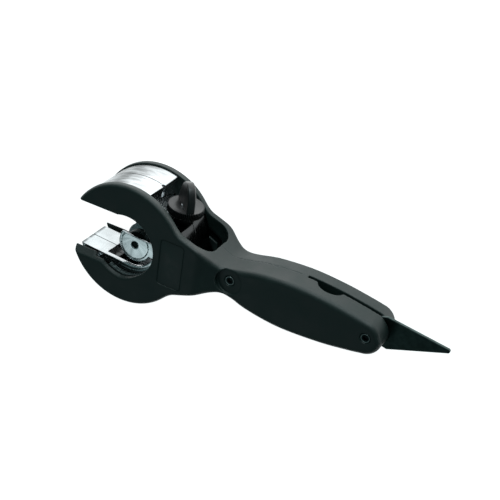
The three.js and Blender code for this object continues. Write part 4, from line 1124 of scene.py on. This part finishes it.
class CUTTER_OT_reamer(bpy.types.Operator):
    """Build the fold-out reamer blade with its ground bevels"""

    bl_idname = "cutter.reamer"
    bl_label = "Reamer"

    def execute(self, context):
        size = sizes("cutter_reamer")
        tip = np.array([size.blade_reach - size.blade_tip, 4.3])
        heel = arc((0, 0), size.blade_heel, 95, 265, 36)
        nose = arc(tip, size.blade_tip, -75, 80, 12)
        foot, top = np.array([10.0, -10.4]), np.array([6.6, 10.6])
        edges = [foot + (nose[0] - foot) * t for t in np.linspace(0, 1, 12, endpoint=False)]
        back = [nose[-1] + (top - nose[-1]) * t for t in np.linspace(1 / 12, 1, 12)]
        outline = np.concatenate([heel, edges, nose, back])
        h, b = size.blade_half, size.bevel
        shape = stack(outline, [(-h, b), (-h + b * 0.7, 0.0), (h - b * 0.7, 0.0), (h, b)])
        # Blade steel left dark from hardening: dull, with marks of rolling along its length.
        oxide = steel("oxidised_blade_steel", "blade", 0.34, 0.46, 0.6, (0.3, 2, 1))
        blade = put("reamer_blade_ground", shape, oxide, "reamer", ["reamer_blade"],
                    shift=PIVOT, sharp=20)
        # Its edges are ground after hardening, so they are the one lighter line.
        blade.data.materials.append(steel("ground_blade_edge", "edge", 0.3, 0.42, 0.5, (0.3, 2, 1)))
        count = len(outline)
        index = np.zeros(len(blade.data.polygons), np.int32)
        index[:count * 3] = np.arange(count * 3) % count >= len(heel)
        blade.data.polygons.foreach_set("material_index", index)
        return {"FINISHED"}


# ---------------------------------------------------------------- table, light and camera

class CUTTER_OT_stage(bpy.types.Operator):
    """Set up the pale table, the soft lights and the camera"""

    bl_idname = "cutter.stage"
    bl_label = "Table, light and camera"

    def execute(self, context):
        scene = context.scene
        mesh = bpy.data.meshes.new("pale_table")
        reach = 3.0
        corners = [(-reach, -reach, 0), (reach, -reach, 0), (reach, reach, 0), (-reach, reach, 0)]
        mesh.from_pydata(corners, [], [(0, 1, 2, 3)])
        mesh.materials.append(pale_table())
        table = bpy.data.objects.new("pale_table", mesh)
        scene.collection.objects.link(table)
        table.location.z = -0.0005
        world = bpy.data.worlds.new("soft_room")
        scene.world = world
        world.use_nodes = True
        room = world.node_tree.nodes["Background"].inputs
        room["Color"].default_value = (0.6, 0.96, 0.98, 1.0)
        room["Strength"].default_value = 0.12
        for name, place, size, power in (
                ("top_softbox", (0.1, 1.4, 0.3), 1.1, 14.0),
                ("front_fill", (-0.57, -0.86, 1.33), 0.5, 0.5)):
            light = bpy.data.lights.new(name, "AREA")
            light.size = size
            light.energy = power
            light.color = (0.84, 0.98, 1.0)
            lamp = bpy.data.objects.new(name, light)
            scene.collection.objects.link(lamp)
            back = np.array(place) - (-0.02, 0, 0.02)
            back = back / np.linalg.norm(back)
            right = np.cross((0, 0, 1), back)
            right = right / np.linalg.norm(right)
            aim(lamp, place, right, np.cross(back, right), back)
        camera = bpy.data.objects.new("view_camera", bpy.data.cameras.new("view_camera"))
        camera.data.lens = 84.756
        camera.data.sensor_width = 36.0
        camera.data.clip_end = 20.0
        scene.collection.objects.link(camera)
        place = HEAD + np.array([311.8, 375.9, 551.9]) * MM
        aim(camera, place, (0.8741, 0.1371, -0.4660), (-0.3470, 0.8476, -0.4015), (0.3399, 0.5126, 0.7885))
        scene.camera = camera
        scene.view_settings.view_transform = "Standard"
        return {"FINISHED"}


def aim(thing, place, right, up, back):
    """Puts a camera or light at a place, looking against back, with right and up across its picture."""
    turned = Matrix([list(row) for row in np.array([right, up, back], float).T]).to_4x4()
    turned.translation = place
    thing.matrix_world = turned


# ---------------------------------------------------------------- panel and registration

STEPS = (
    CUTTER_OT_handle,
    CUTTER_OT_screws,
    CUTTER_OT_rotor,
    CUTTER_OT_rollers,
    CUTTER_OT_feed,
    CUTTER_OT_carriage,
    CUTTER_OT_wheel,
    CUTTER_OT_reamer,
    CUTTER_OT_stage,
)


class CUTTER_PT_panel(bpy.types.Panel):
    """Lists the sizes, the colours and the steps"""

    bl_idname = "CUTTER_PT_panel"
    bl_label = "Tube cutter"
    bl_space_type = "VIEW_3D"
    bl_region_type = "UI"
    bl_category = "Tube cutter"

    def draw(self, context):
        for step in STEPS:
            self.layout.operator(step.bl_idname)
        for group, kind in GROUPS.items():
            box = self.layout.box()
            box.label(text=group.replace("cutter_", "").capitalize())
            for key in kind.__annotations__:
                box.prop(getattr(context.scene, group), key)


def register():
    for kind in (*GROUPS.values(), *STEPS, CUTTER_PT_panel):
        bpy.utils.register_class(kind)
    for group, kind in GROUPS.items():
        setattr(bpy.types.Scene, group, bpy.props.PointerProperty(type=kind))


def unregister():
    for group in GROUPS:
        delattr(bpy.types.Scene, group)
    for kind in reversed((*GROUPS.values(), *STEPS, CUTTER_PT_panel)):
        bpy.utils.unregister_class(kind)


def main():
    """Builds every piece in order."""
    register()
    for step in STEPS:
        family, name = step.bl_idname.split(".")
        getattr(getattr(bpy.ops, family), name)()


if __name__ == "__main__":
    main()
